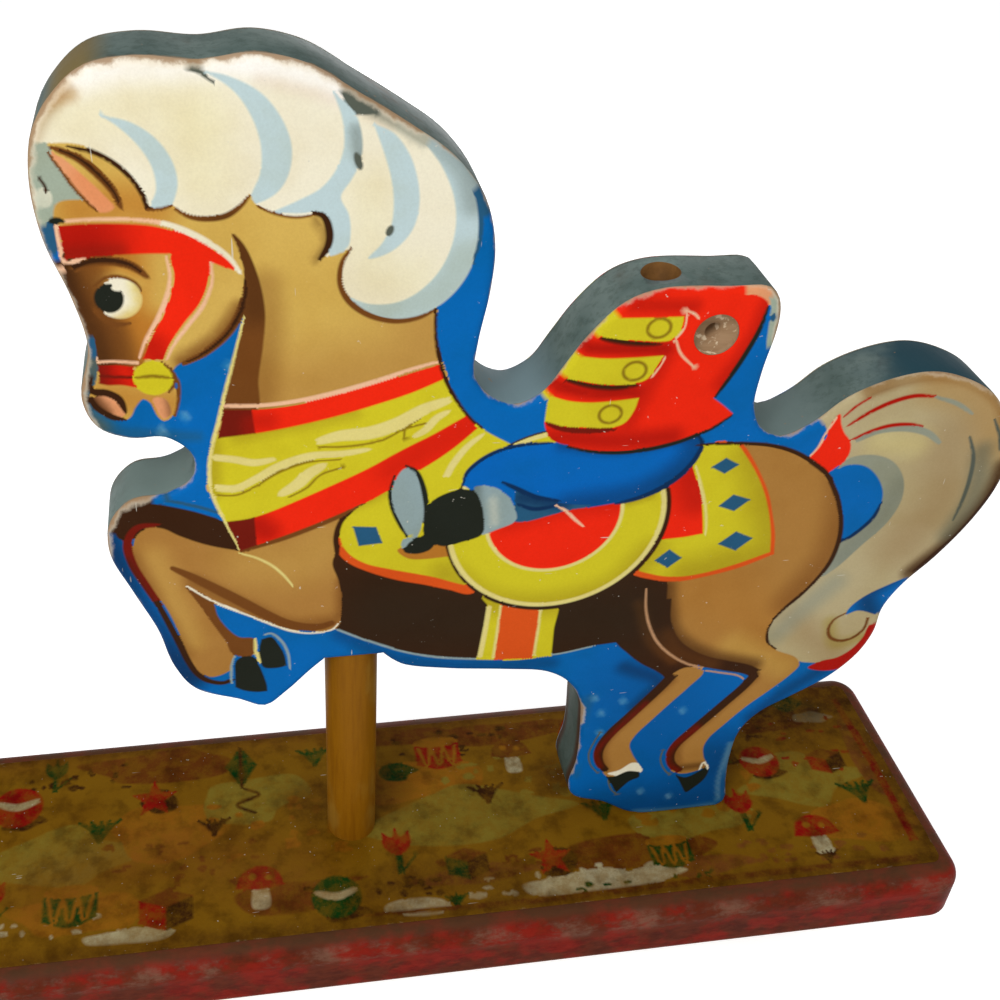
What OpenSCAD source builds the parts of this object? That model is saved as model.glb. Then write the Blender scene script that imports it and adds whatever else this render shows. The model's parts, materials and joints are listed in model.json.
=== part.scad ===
// Horse pull toy: a prancing horse and rider sawn from one board and faced with printed
// paper, standing on a dowel post and its hind foot on a base board with four wheels.
// Units are millimetres. +Z is up, the floor is z = 0, and the horse faces -X.

/* [Base board] */
// Length of the base board
base_l = 335; // [320:5:360]
// Width of the base board
base_w = 95; // [86:1:110]
// Thickness of the base board
base_t = 22; // [18:0.5:26]
// Corner radius of the base board, seen from above
base_corner_r = 9; // [8:0.5:14]
// Radius of the rounding along the upper edges
base_top_r = 7; // [3:0.5:8]
// Radius of the rounding along the lower edges
base_under_r = 3; // [1:0.5:4]
// Bare painted border round the printed paper
base_border = 7; // [6:0.5:12]
// Corner radius of the printed paper
base_paper_r = 3; // [1:0.5:6]
// Diameter of the hole for the pulling cord
cord_hole_d = 5; // [3:0.5:7]
// Distance from the front end to the middle of the cord hole
cord_hole_in = 13; // [12:0.5:18]

/* [Horse board] */
// Length of the horse from its forelock to its tail
horse_l = 261.5; // [240:0.5:272]
// Thickness of the board that the horse is sawn from
board_t = 19; // [17:0.5:22]
// Radius of the rounded arrises
arris_r = 2; // [1:0.25:3]
// Thickness of the printed paper
paper_t = 0.3; // [0.2:0.05:0.5]
// Diameter of the socket for the neck of the rider's head
neck_hole_d = 10; // [6:0.5:11]
// Depth of the neck socket
neck_hole_deep = 15; // [10:1:20]
// Diameter of the bore for the pin of the rider's arms
arm_hole_d = 5; // [3:0.5:6]
// Diameter of the shallow recess round the arm bore
arm_recess_d = 11.8; // [9:0.2:13]
// Depth of the arm recess in each face
arm_recess_deep = 2; // [1:0.25:3]

/* [Post] */
// Distance from the front end of the base to the post
post_in = 135; // [125:1:145]
// Diameter of the dowel post
post_d = 16; // [13:0.5:17]
// Depth of the post's socket in the base board
post_socket = 14; // [8:0.5:15]
// Diameter of the tenon at the top of the post
tenon_d = 9; // [6:0.5:10]
// Length of the tenon
tenon_l = 14; // [8:0.5:20]

/* [Wheels and axles] */
// Diameter of a wheel
wheel_d = 26; // [24:0.5:32]
// Width of a wheel
wheel_w = 10; // [8:0.5:12]
// Diameter of an axle
axle_d = 3; // [2.5:0.1:4]
// Distance from an end of the base to its axle
axle_in = 48; // [40:1:60]
// Air between the top of a wheel and the base board
wheel_air = 2.5; // [2:0.5:6]
// Radial clearance of a wheel on its axle
wheel_play = 0.06; // [0.03:0.01:0.1]
// Side play of a wheel between its washer and its cap
side_play = 0.25; // [0.15:0.05:0.6]
// Width of an axle block, along the base
block_w = 20; // [18:0.5:26]
// Length of an axle block, across the base
block_l = 36; // [34:0.5:44]
// Wood left under the axle in its block
block_under = 7; // [5:0.5:9]
// Diameter of a washer
washer_d = 8; // [7:0.25:10]
// Thickness of a washer
washer_t = 0.6; // [0.4:0.1:1]
// Diameter of an axle cap
cap_d = 8; // [6.5:0.25:10]
// Height of an axle cap
cap_h = 3.4; // [3:0.1:5]

/* [Screws] */
// Shank diameter of the wood screws
screw_d = 3.5; // [3:0.1:4]
// Head diameter of the wood screws
screw_head_d = 7; // [6:0.25:8]
// Depth that a screw bites into the piece it holds
screw_bite = 12; // [9:0.5:14]
// Distance from the side of an axle block to its screws
screw_in_side = 4; // [4:0.25:5]
// Distance from the end of an axle block to its screws
screw_in_end = 8; // [6:0.5:9]

/* [Hidden] */
$fn = 96;

// Clearance of a glued, driven or pressed piece in its hole
fit = 0.04;
// How far the paper stands back from a hole in the wood under it
paper_back = 0.4;
// Extra reach of a cutting shape past the face that it cuts
over = 1;

wheel_r = wheel_d / 2;
base_z = wheel_d + wheel_air;
top_z = base_z + base_t;
paper_z = top_z + paper_t;
post_x = -base_l / 2 + post_in;
front_axle_x = -base_l / 2 + axle_in;
rear_axle_x = base_l / 2 - axle_in;

// Places across an axle, from the middle outwards
washer_y = block_l / 2;
wheel_y = washer_y + washer_t + side_play;
cap_y = wheel_y + wheel_w + side_play;
cap_wall = 1.2;
axle_half = cap_y + cap_h - cap_wall;
block_h = base_z - wheel_r + block_under;

// The horse's outline, from hand-measured points: x forward of and behind the post, then
// height above the paper on the base, at the length that the outline was measured at.
outline_l = 261.5;
k = horse_l / outline_l;
seat_half = 8.5;
seat_z = 86;
foot_from = 99;
foot_to = 125.5;
foot_screw_front = 107.5;
foot_screw_rear = 119.5;
neck_at = [79.8, 203.2];
arm_at = [93.6, 189.1];

// From the heel of the hind foot over tail, rider, mane and face to the post's seat
over_back = [
    [foot_to, 0], [128.4, 2.4], [127.4, 12], [126.6, 24], [128, 37.4], [133.2, 45.2], [143, 51.6],
    [153.4, 58.6], [161.2, 67.8], [164.6, 77], [165.2, 87.5], [169.4, 96.6], [177, 106.4],
    [184.8, 119.6], [189.2, 132], [189.8, 143], [185.4, 154.8], [178.8, 164.2], [169, 170.2],
    [158, 173.2], [146.2, 171.6], [135, 166.6], [126.4, 159], [118, 155.2], [111.6, 158.8],
    [108.6, 166], [108.8, 177], [110.4, 189.6], [109.8, 197], [106.4, 201.8], [96, 202.6],
    [77.8, 203], [68.6, 199.8], [60.2, 191.2], [54.4, 182.2], [49.4, 174.6], [42.4, 171.2],
    [35.8, 174], [31.2, 180.4], [31.4, 189.4], [33.8, 205], [34.2, 217], [31.2, 229], [23.4, 239.8],
    [12.8, 247.8], [1.4, 255.2], [-9.4, 261.8], [-21, 264.6], [-33, 263.4], [-46, 264.6],
    [-57, 262.8], [-64.4, 256.8], [-69.4, 249], [-71.6, 238], [-70.6, 223.5], [-66.2, 208.5],
    [-64, 195], [-67.2, 180.3], [-64.2, 171.8], [-56.4, 168], [-48, 167.6], [-41.8, 161.8],
    [-42.4, 154.6], [-49.4, 150.2], [-58, 149], [-64.4, 142.2], [-65.8, 131.5], [-61, 117],
    [-55.6, 102.4], [-52.2, 87.8], [-46.8, 78.2], [-34.4, 72.2], [-26.8, 68.6], [-20.6, 73.4],
    [-12.8, 81.8], [-seat_half, seat_z]
];

// From the post's seat along the belly and down the front of the hind foot
under_belly = [
    [seat_half, seat_z], [14, 81], [28, 77.4], [46, 74.8], [59, 72.3], [66.5, 67], [71.3, 58],
    [72.7, 45], [73, 30], [71.4, 19], [73.6, 12.8], [84, 8.2], [93.4, 1.8], [foot_from, 0]
];

// Square root spacing keeps the curve from overshooting where its points crowd
function knot(a, b) = sqrt(norm(b - a));

// Point at fraction u of the smooth curve from b to c, between neighbours a and d
function curve_point(a, b, c, d, u) =
    let (
        t1 = knot(a, b),
        t2 = t1 + knot(b, c),
        t3 = t2 + knot(c, d),
        t = t1 + u * (t2 - t1),
        ab = ((t1 - t) * a + t * b) / t1,
        bc = ((t2 - t) * b + (t - t1) * c) / (t2 - t1),
        cd = ((t3 - t) * c + (t - t2) * d) / (t3 - t2),
        abc = ((t2 - t) * ab + t * bc) / t2,
        bcd = ((t3 - t) * bc + (t - t1) * cd) / (t3 - t1)
    )
    ((t2 - t) * abc + (t - t1) * bcd) / (t2 - t1);

// Points about `step` apart along the smooth curve through p, both ends included
function smooth(p, step) = concat(
    [
        for (i = [0:len(p) - 2])
            let (
                before = i > 0 ? p[i - 1] : 2 * p[0] - p[1],
                after = i < len(p) - 2 ? p[i + 2] : 2 * p[i + 1] - p[i],
                count = max(2, round(norm(p[i + 1] - p[i]) / step))
            )
            for (j = [0:count - 1])
                curve_point(before, p[i], p[i + 1], after, j / count)
    ],
    [p[len(p) - 1]]
);

outline_step = 3;
outline = k * concat(smooth(over_back, outline_step), smooth(under_belly, outline_step));

function unit(v) = v / norm(v);
function left_of(a, b) = let (d = unit(b - a)) [-d[1], d[0]];

// The closed outline p moved inwards by d
function inset(p, d) = [
    for (i = [0:len(p) - 1])
        let (
            before = left_of(p[(i + len(p) - 1) % len(p)], p[i]),
            after = left_of(p[i], p[(i + 1) % len(p)])
        )
        p[i] + d * (before + after) / (1 + before * after)
];

// The board's edge as rings from one face to the other, each [y, inset]
arris_steps = 3;
edge_rings = concat(
    [
        for (i = [0:arris_steps])
            let (a = 90 * i / arris_steps)
            [-board_t / 2 + arris_r * (1 - cos(a)), arris_r * (1 - sin(a))]
    ],
    [
        for (i = [arris_steps:-1:0])
            let (a = 90 * i / arris_steps)
            [board_t / 2 - arris_r * (1 - cos(a)), arris_r * (1 - sin(a))]
    ]
);

// Moves a piece drawn about the post's foot to its place on the base
module on_base() {
    translate([post_x, 0, paper_z])
        children();
}

// Whether q lies in the triangle a, b, c, whose corners run counter-clockwise
function in_triangle(q, a, b, c) =
    cross(b - a, q - a) >= 0 && cross(c - b, q - b) >= 0 && cross(a - c, q - c) >= 0;

// Whether corner i of what is left of outline p can be cut off as a triangle of its own
function is_ear(p, left, i) =
    let (
        n = len(left),
        before = left[(i + n - 1) % n],
        after = left[(i + 1) % n],
        a = p[before],
        b = p[left[i]],
        c = p[after]
    )
    cross(b - a, c - b) > 0 && 0 == len([
        for (q = left)
            if (q != before && q != left[i] && q != after && in_triangle(p[q], a, b, c)) q
    ]);

function next_ear(p, left, i) = is_ear(p, left, i) ? i : next_ear(p, left, (i + 1) % len(left));

// The flat area inside outline p as triangles of corner numbers
function flat_face(p, left, start = 0) =
    len(left) == 3 ? [left] :
    let (
        n = len(left),
        i = next_ear(p, left, start % n),
        rest = [for (j = [0:n - 1]) if (j != i) left[j]]
    )
    concat([[left[(i + n - 1) % n], left[i], left[(i + 1) % n]]], flat_face(p, rest, i + 1));

// The sawn blank with rounded arrises
module sawn_blank() {
    rings = [for (r = edge_rings) [for (p = inset(outline, r[1])) [p[0], r[0], p[1]]]];
    n = len(outline);
    last = len(rings) - 1;
    face = flat_face(inset(outline, arris_r), [for (i = [0:n - 1]) i]);
    polyhedron(
        points = [for (ring = rings) each ring],
        faces = concat(
            face,
            [for (t = face) [last * n + t[2], last * n + t[1], last * n + t[0]]],
            [
                for (r = [0:last - 1])
                    for (i = [0:n - 1])
                        each [
                            [r * n + i, (r + 1) * n + i, (r + 1) * n + (i + 1) % n],
                            [r * n + i, (r + 1) * n + (i + 1) % n, r * n + (i + 1) % n]
                        ]
            ]
        )
    );
}

// A cylinder lying across the toy, from y0 to y1
module across(d, y0, y1) {
    translate([0, y1, 0])
        rotate([90, 0, 0])
            cylinder(d = d, h = y1 - y0);
}

module arm_place() {
    translate([k * arm_at[0], 0, k * arm_at[1]])
        children();
}

foot_screw_x = [k * foot_screw_front, k * foot_screw_rear];

module horse_board() {
    color([0.32, 0.41, 0.43])
        on_base()
            difference() {
                sawn_blank();
                translate([k * neck_at[0], 0, k * neck_at[1] - neck_hole_deep])
                    cylinder(d = neck_hole_d, h = neck_hole_deep + over);
                arm_place()
                    across(arm_hole_d, -board_t, board_t);
                for (side = [-1, 1])
                    arm_place()
                        translate([0, side * board_t / 2, 0])
                            across(arm_recess_d, -arm_recess_deep, arm_recess_deep);
                translate([0, 0, k * seat_z - over])
                    cylinder(d = tenon_d + 2 * fit, h = tenon_l + over + fit);
                for (x = foot_screw_x)
                    translate([x, 0, -over])
                        cylinder(d = screw_d + 2 * fit, h = screw_bite + over + fit);
            }
}

// The printed paper on one face of the horse board
module horse_print(side) {
    color([0, 0.4, 0.75])
        on_base()
            difference() {
                translate([0, side > 0 ? board_t / 2 + paper_t : -board_t / 2, 0])
                    rotate([90, 0, 0])
                        linear_extrude(height = paper_t)
                            polygon(inset(outline, arris_r));
                arm_place()
                    across(arm_recess_d + 2 * paper_back, -board_t, board_t);
            }
}

module horse_print_left() {
    horse_print(-1);
}

module horse_print_right() {
    horse_print(1);
}

module post() {
    color([0.6, 0.43, 0.1])
        on_base()
            union() {
                translate([0, 0, -paper_t - post_socket])
                    cylinder(d = post_d, h = k * seat_z + paper_t + post_socket);
                translate([0, 0, k * seat_z - over])
                    cylinder(d = tenon_d, h = tenon_l + over);
            }
}

// Cross-section of the base board's edge, from 0 out to `reach`
module edge_profile(reach) {
    difference() {
        square([reach, base_t]);
        translate([reach - base_top_r, base_t - base_top_r])
            difference() {
                square(base_top_r + over);
                circle(r = base_top_r);
            }
        translate([reach - base_under_r, base_under_r])
            difference() {
                translate([0, -base_under_r - over])
                    square(base_under_r + over);
                circle(r = base_under_r);
            }
    }
}

// A run of edge along X, with its profile facing -Y
module edge_run(length, reach) {
    rotate([90, 0, -90])
        translate([0, 0, -length / 2])
            linear_extrude(height = length)
                edge_profile(reach);
}

module base_blank() {
    inner_l = base_l - 2 * base_corner_r;
    inner_w = base_w - 2 * base_corner_r;
    union() {
        translate([-inner_l / 2, -inner_w / 2, 0])
            cube([inner_l, inner_w, base_t]);
        for (side = [0, 180])
            rotate([0, 0, side]) {
                translate([0, -inner_w / 2, 0])
                    edge_run(inner_l, base_corner_r);
                translate([-inner_l / 2, 0, 0])
                    rotate([0, 0, -90])
                        edge_run(inner_w, base_corner_r);
            }
        for (x = [-1, 1])
            for (y = [-1, 1])
                translate([x * inner_l / 2, y * inner_w / 2, 0])
                    rotate_extrude()
                        edge_profile(base_corner_r);
    }
}

cord_hole_x = -base_l / 2 + cord_hole_in;
axle_places = [front_axle_x, rear_axle_x];
block_screw_at = [block_w / 2 - screw_in_side, block_l / 2 - screw_in_end];
screw_head_h = screw_head_d / 2 - screw_d / 2;
screw_tip_d = 0.6;

module block_screw_places() {
    for (end = [-1, 1])
        translate([end * block_screw_at[0], end * block_screw_at[1], 0])
            children();
}

// A flat-head wood screw, its head at z = 0 and its point up
module wood_screw(length) {
    tip = screw_d;
    cylinder(d1 = screw_head_d, d2 = screw_d, h = screw_head_h);
    translate([0, 0, screw_head_h])
        cylinder(d = screw_d, h = length - screw_head_h - tip);
    translate([0, 0, length - tip])
        cylinder(d1 = screw_d, d2 = screw_tip_d, h = tip);
}

// The countersunk hole for a wood screw
module screw_hole(length) {
    cylinder(d1 = screw_head_d + 2 * fit, d2 = screw_d + 2 * fit, h = screw_head_h);
    translate([0, 0, screw_head_h - fit])
        cylinder(d = screw_d + 2 * fit, h = length - screw_head_h + 2 * fit);
    translate([0, 0, -over])
        cylinder(d = screw_head_d + 2 * fit, h = over);
}

block_screw_l = block_h + screw_bite;
foot_screw_l = base_t + paper_t + screw_bite;

module base_board() {
    color([0.5, 0.15, 0.1])
        difference() {
            translate([0, 0, base_z])
                base_blank();
            translate([post_x, 0, top_z - post_socket - fit])
                cylinder(d = post_d + 2 * fit, h = post_socket + fit + over);
            translate([cord_hole_x, 0, base_z - over])
                cylinder(d = cord_hole_d, h = base_t + 2 * over);
            for (x = foot_screw_x)
                translate([post_x + x, 0, base_z])
                    screw_hole(foot_screw_l);
            for (x = axle_places)
                translate([x, 0, base_z - block_h])
                    block_screw_places()
                        screw_hole(block_screw_l);
        }
}

module base_print() {
    paper_l = base_l - 2 * base_border;
    paper_w = base_w - 2 * base_border;
    corner_x = paper_l / 2 - base_paper_r;
    corner_y = paper_w / 2 - base_paper_r;
    color([0.6, 0.47, 0.12])
        translate([0, 0, top_z])
            linear_extrude(height = paper_t)
                difference() {
                    union() {
                        square([paper_l - 2 * base_paper_r, paper_w], center = true);
                        square([paper_l, paper_w - 2 * base_paper_r], center = true);
                        for (x = [-1, 1])
                            for (y = [-1, 1])
                                translate([x * corner_x, y * corner_y])
                                    circle(r = base_paper_r);
                    }
                    translate([post_x, 0])
                        circle(d = post_d + 2 * fit);
                    translate([cord_hole_x, 0])
                        circle(d = cord_hole_d + 2 * paper_back);
                    for (x = foot_screw_x)
                        translate([post_x + x, 0])
                            circle(d = screw_d + 2 * fit);
                }
}

module foot_screws() {
    color([0.6, 0.55, 0.4])
        for (x = foot_screw_x)
            translate([post_x + x, 0, base_z])
                wood_screw(foot_screw_l);
}

// The wooden strip that holds an axle under the base
module axle_block(x) {
    color([0.72, 0.55, 0.33])
        difference() {
            translate([x - block_w / 2, -block_l / 2, base_z - block_h])
                cube([block_w, block_l, block_h]);
            translate([x, 0, wheel_r])
                across(axle_d + 2 * fit, -block_l / 2 - over, block_l / 2 + over);
            translate([x, 0, base_z - block_h])
                block_screw_places()
                    screw_hole(block_screw_l);
        }
}

module block_screws(x) {
    color([0.6, 0.55, 0.4])
        translate([x, 0, base_z - block_h])
            block_screw_places()
                wood_screw(block_screw_l);
}

module axle(x) {
    color([0.62, 0.62, 0.62])
        translate([x, 0, wheel_r])
            across(axle_d, -axle_half, axle_half);
}

// Moves a piece drawn outwards along +Z to one end of an axle
module at_axle(x, side, y) {
    translate([x, side * y, wheel_r])
        rotate([side > 0 ? -90 : 90, 0, 0])
            children();
}

// A turned wooden wheel with a rounded tread and a dished outer face
module wheel(x, side) {
    tread_r = 1.6;
    hub_r = wheel_r * 0.42;
    rim_r = wheel_r * 0.72;
    dish = wheel_w * 0.15;
    color([0.78, 0.2, 0.1])
        at_axle(x, side, wheel_y)
            rotate_extrude()
                difference() {
                    translate([axle_d / 2 + wheel_play, 0])
                        square([wheel_r - axle_d / 2 - wheel_play, wheel_w]);
                    for (z = [0, wheel_w])
                        translate([wheel_r - tread_r, z == 0 ? tread_r : wheel_w - tread_r])
                            difference() {
                                translate([0, z == 0 ? -tread_r - over : 0])
                                    square(tread_r + over);
                                circle(r = tread_r);
                            }
                    polygon([
                        [hub_r, wheel_w + over], [hub_r + dish, wheel_w - dish],
                        [rim_r - dish, wheel_w - dish], [rim_r, wheel_w + over]
                    ]);
                }
}

module washer(x, side) {
    color([0.66, 0.66, 0.66])
        at_axle(x, side, washer_y)
            difference() {
                cylinder(d = washer_d, h = washer_t);
                translate([0, 0, -over])
                    cylinder(d = axle_d + 2 * fit, h = washer_t + 2 * over);
            }
}

// The domed steel cap driven on the end of an axle
module axle_cap(x, side) {
    rim_h = 1;
    dome_h = cap_h - rim_h;
    ball_r = (pow(cap_d / 2, 2) + pow(dome_h, 2)) / (2 * dome_h);
    color([0.7, 0.7, 0.7])
        at_axle(x, side, cap_y)
            difference() {
                union() {
                    cylinder(d = cap_d, h = rim_h);
                    rotate_extrude()
                        intersection() {
                            translate([0, cap_h - ball_r])
                                circle(r = ball_r);
                            translate([0, rim_h])
                                square([cap_d / 2, dome_h]);
                        }
                }
                translate([0, 0, -over])
                    cylinder(d = axle_d + 2 * fit, h = cap_h - cap_wall + over + fit);
            }
}

module front_axle_block() { axle_block(front_axle_x); }
module rear_axle_block() { axle_block(rear_axle_x); }
module front_block_screws() { block_screws(front_axle_x); }
module rear_block_screws() { block_screws(rear_axle_x); }
module front_axle() { axle(front_axle_x); }
module rear_axle() { axle(rear_axle_x); }
module front_left_wheel() { wheel(front_axle_x, -1); }
module front_right_wheel() { wheel(front_axle_x, 1); }
module rear_left_wheel() { wheel(rear_axle_x, -1); }
module rear_right_wheel() { wheel(rear_axle_x, 1); }
module front_left_washer() { washer(front_axle_x, -1); }
module front_right_washer() { washer(front_axle_x, 1); }
module rear_left_washer() { washer(rear_axle_x, -1); }
module rear_right_washer() { washer(rear_axle_x, 1); }
module front_left_cap() { axle_cap(front_axle_x, -1); }
module front_right_cap() { axle_cap(front_axle_x, 1); }
module rear_left_cap() { axle_cap(rear_axle_x, -1); }
module rear_right_cap() { axle_cap(rear_axle_x, 1); }

base_board();
base_print();
post();
horse_board();
horse_print_left();
horse_print_right();
foot_screws();
front_axle_block();
rear_axle_block();
front_block_screws();
rear_block_screws();
front_axle();
rear_axle();
front_left_wheel();
front_right_wheel();
rear_left_wheel();
rear_right_wheel();
front_left_washer();
front_right_washer();
rear_left_washer();
rear_right_washer();
front_left_cap();
front_right_cap();
rear_left_cap();
rear_right_cap();
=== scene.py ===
"""Looks of a wooden horse pull toy: printed papers, worn paint, varnished dowel, wood and steel.

The pieces come at their real size and place, in metres, with the horse facing -X. The printed
papers are drawn here in millimetres: along x from the post's axis, and up from the paper on
the base board, or across the base board for its own paper.
"""

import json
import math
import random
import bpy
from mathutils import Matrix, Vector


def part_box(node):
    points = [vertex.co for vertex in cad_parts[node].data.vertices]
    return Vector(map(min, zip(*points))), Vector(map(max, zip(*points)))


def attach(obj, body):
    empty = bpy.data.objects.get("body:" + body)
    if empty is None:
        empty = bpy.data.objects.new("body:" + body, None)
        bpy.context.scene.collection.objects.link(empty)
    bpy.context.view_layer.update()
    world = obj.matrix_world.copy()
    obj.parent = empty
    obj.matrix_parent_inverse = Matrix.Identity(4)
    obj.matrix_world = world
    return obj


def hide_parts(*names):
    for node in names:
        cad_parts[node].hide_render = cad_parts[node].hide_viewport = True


bl_info = {
    "name": "Horse Pull Toy",
    "version": (1, 0, 0),
    "blender": (4, 5, 0),
    "location": "3D View > Sidebar > Horse Toy",
    "description": "Printed papers, worn paint, wood and steel for a wooden horse pull toy",
    "category": "Object",
}

import bmesh
import bpy
import numpy as np
from bpy.props import FloatProperty, FloatVectorProperty, PointerProperty
from bpy.types import Operator, Panel, PropertyGroup
from mathutils import Matrix, Vector
from mathutils.geometry import delaunay_2d_cdt

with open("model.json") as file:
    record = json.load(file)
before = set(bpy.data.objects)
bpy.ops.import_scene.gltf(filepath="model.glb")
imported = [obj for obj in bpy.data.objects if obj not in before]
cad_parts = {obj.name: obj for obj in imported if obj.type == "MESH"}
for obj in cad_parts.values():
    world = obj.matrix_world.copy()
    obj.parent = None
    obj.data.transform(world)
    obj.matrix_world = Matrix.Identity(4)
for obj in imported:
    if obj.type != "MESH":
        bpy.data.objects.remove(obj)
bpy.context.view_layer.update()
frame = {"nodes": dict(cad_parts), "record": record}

MM = 0.001
BODY = "base"
ACROSS = 1
UP = 2
WHEELS = ("front_left_wheel", "front_right_wheel", "rear_left_wheel", "rear_right_wheel")


# Sizes taken from the frame, in millimetres

def middle(node):
    low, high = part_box(node)
    return (low + high) / 2


POST_X = middle("post").x / MM
PAPER_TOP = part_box("base_print")[1].z / MM
PRINT_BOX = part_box("horse_print_left")
BOARD_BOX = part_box("horse_board")
BOARD_HALF = abs(BOARD_BOX[0].y) / MM
PAPER_THICK = abs(PRINT_BOX[0].y) / MM - BOARD_HALF
ARRIS = (PRINT_BOX[0].x - BOARD_BOX[0].x) / MM

# Length of the paper on the horse at which its picture is drawn
DRAWN_LENGTH = 257.734
PICTURE_SCALE = (PRINT_BOX[1].x - PRINT_BOX[0].x) / MM / DRAWN_LENGTH

# Where the pictures of the horse and of the base have their zero
HORSE_ORIGIN = np.array((POST_X, PAPER_TOP))
BASE_ORIGIN = np.array((POST_X, 0.0))

# Distances between the points of a drawn loop, of a shadow's line and of a rubbed edge's line
LOOP_STEP = 0.8
SHADOW_STEP = 2.0
EDGE_STEP = 3.0

# Bend in radians that stays a sharp corner where a packed loop is smoothed
SHARP_BEND = 0.5

# Distance between a rim and the loose points of the mesh inside it, how far a packed corner may lie
# off its flat face, and the distance at which the triangles' points become one
RIM_GAP = 0.2
FACE_SLACK = 0.01
MERGE = 1e-4

# Cells of the points' grid are numbered in rows of this many
CELL_ROW = 100003

# Width of a horse paper's part that lies round the arris
ROLLED = 2.3

# Least chafing of the horse anywhere, and chafing all round the paper on the base
LEAST_CHAFE = 0.10
BASE_CHAFE = 0.35

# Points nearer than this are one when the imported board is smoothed, and how far its shading bends
WELD = 0.000002
SMOOTH_ANGLE = math.radians(40)

# Radii in metres between which a bore's bare wood ends and the paint begins
RECESS_RIM = (0.00615, 0.00600)
SOCKET_RIM = (0.00520, 0.00505)
CORD_HOLE_RIM = (0.0027, 0.00255)
HUB_RIM = (0.0032, 0.0022)

# Depths in metres below the neck socket's mount between which its old wood begins
SOCKET_DEPTHS = (0.008, 0.0075)

# Heights in metres between which the horse's edge gets darker, down to the foot
DARKENING_HEIGHTS = (0.135, 0.105)

# Depths in metres below the base board's top: the rubbed ridge begins, is full, starts to end and
# has ended; then where the grime next to the paper begins and is full
RIDGE_DEPTHS = (0.0110, 0.0060, 0.0030, 0.0002)
GRIME_DEPTHS = (0.0022, 0.0004)

# Heights in metres above the base board's underside between which its paint ends
UNDERSIDE = (0.003, 0.0005)

# Strength of shine on the horse's edge, the base's paint and the post's varnish
EDGE_SHINE = 0.08
BASE_SHINE = 0.04
POST_SHINE = 0.06

# Stage: half the floor's width and its glow for the camera, the camera's sensor in mm, and the
# point that the lamps face
FLOOR_HALF = 6.0
FLOOR_GLOW = 0.60
SENSOR = 36.0
LAMP_AIM = (0.0, 0.0, 0.16)
WHITE = (1.0, 1.0, 1.0, 1.0)


# Settings that a user would change

def colour(name, description, *rgb):
    return FloatVectorProperty(
        name=name,
        description=description,
        subtype="COLOR_GAMMA",
        size=3,
        min=0.0,
        max=1.0,
        default=[value / 255 for value in rgb],
    )


def share(name, description, default):
    return FloatProperty(
        name=name, description=description, subtype="FACTOR", min=0.0, max=1.0, default=default
    )


class HorseToyInks(PropertyGroup):
    """Inks of the printed papers"""

    sky: colour("Sky", "Blue ground of the picture on the horse", 0, 100, 176)
    coat: colour("Coat", "Yellow tan of the horse's neck and jaw", 207, 171, 85)
    tan: colour("Tan", "Tan of the horse's rump and legs", 169, 121, 58)
    amber: colour("Amber", "Orange brown of the horse's face", 180, 116, 40)
    shade: colour("Shade", "Brown shadow on the horse's coat", 112, 66, 24)
    umber: colour("Umber", "Darkest brown of the belly and of the outlines", 54, 28, 8)
    cream: colour("Cream", "Mane and bare paper", 235, 228, 203)
    white: colour("White", "Bright rubbed edge of the mane", 248, 245, 238)
    pale_blue: colour("Pale blue", "Shadow of the mane's locks", 186, 206, 208)
    peach: colour("Peach", "Thin piping and highlights", 234, 186, 150)
    fawn: colour("Fawn", "Dull highlights on the belly and legs", 186, 142, 104)
    bone: colour("Bone", "Tail", 182, 167, 128)
    drab: colour("Drab", "Grey shadow of the tail", 144, 148, 130)
    silver: colour("Silver", "Boot sole and cuff", 142, 162, 164)
    red: colour("Red", "Jacket, bands and saddle", 238, 38, 10)
    dark_red: colour("Dark red", "Shadow of the red", 172, 18, 4)
    maroon: colour("Maroon", "Deepest red", 112, 22, 8)
    yellow: colour("Yellow", "Stripes, collar and blanket", 206, 194, 34)
    straw: colour("Straw", "Pale strokes on the yellow", 222, 208, 128)
    ochre: colour("Ochre", "Lines and shadow on the yellow", 142, 118, 20)
    orange: colour("Orange", "Girth and blanket edge", 216, 82, 24)
    # Navy is also painted shade on the blue by the foot
    navy: colour("Navy", "Folds of the trousers and dirt on the blue", 8, 44, 84)
    slate: colour("Slate", "Blue grey diamonds and blots", 36, 86, 120)
    trousers: colour("Trousers", "Blue of the rider's trousers", 0, 98, 182)
    black: colour("Black", "Boot, hooves and eye", 28, 32, 24)
    pink: colour("Pink", "Inner ear, nostril and lip", 222, 152, 106)
    sage: colour("Sage", "Grey green beside the ear", 156, 168, 150)
    smudge: colour("Smudge", "Grey green smudges", 84, 90, 80)
    ground: colour("Ground", "Ochre ground of the paper on the base", 118, 83, 12)
    meadow: colour("Meadow", "Olive patches on the base", 122, 104, 34)
    rust: colour("Rust", "Brown earth on the base", 96, 50, 12)
    honey: colour("Honey", "Yellow brown patches on the base", 138, 88, 16)
    leaf: colour("Leaf", "Green of the motifs on the base", 6, 56, 14)
    berry: colour("Berry", "Red of the motifs on the base", 132, 14, 8)
    chalk: colour("Chalk", "Pale rubbed patches on the base", 166, 156, 122)


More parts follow.
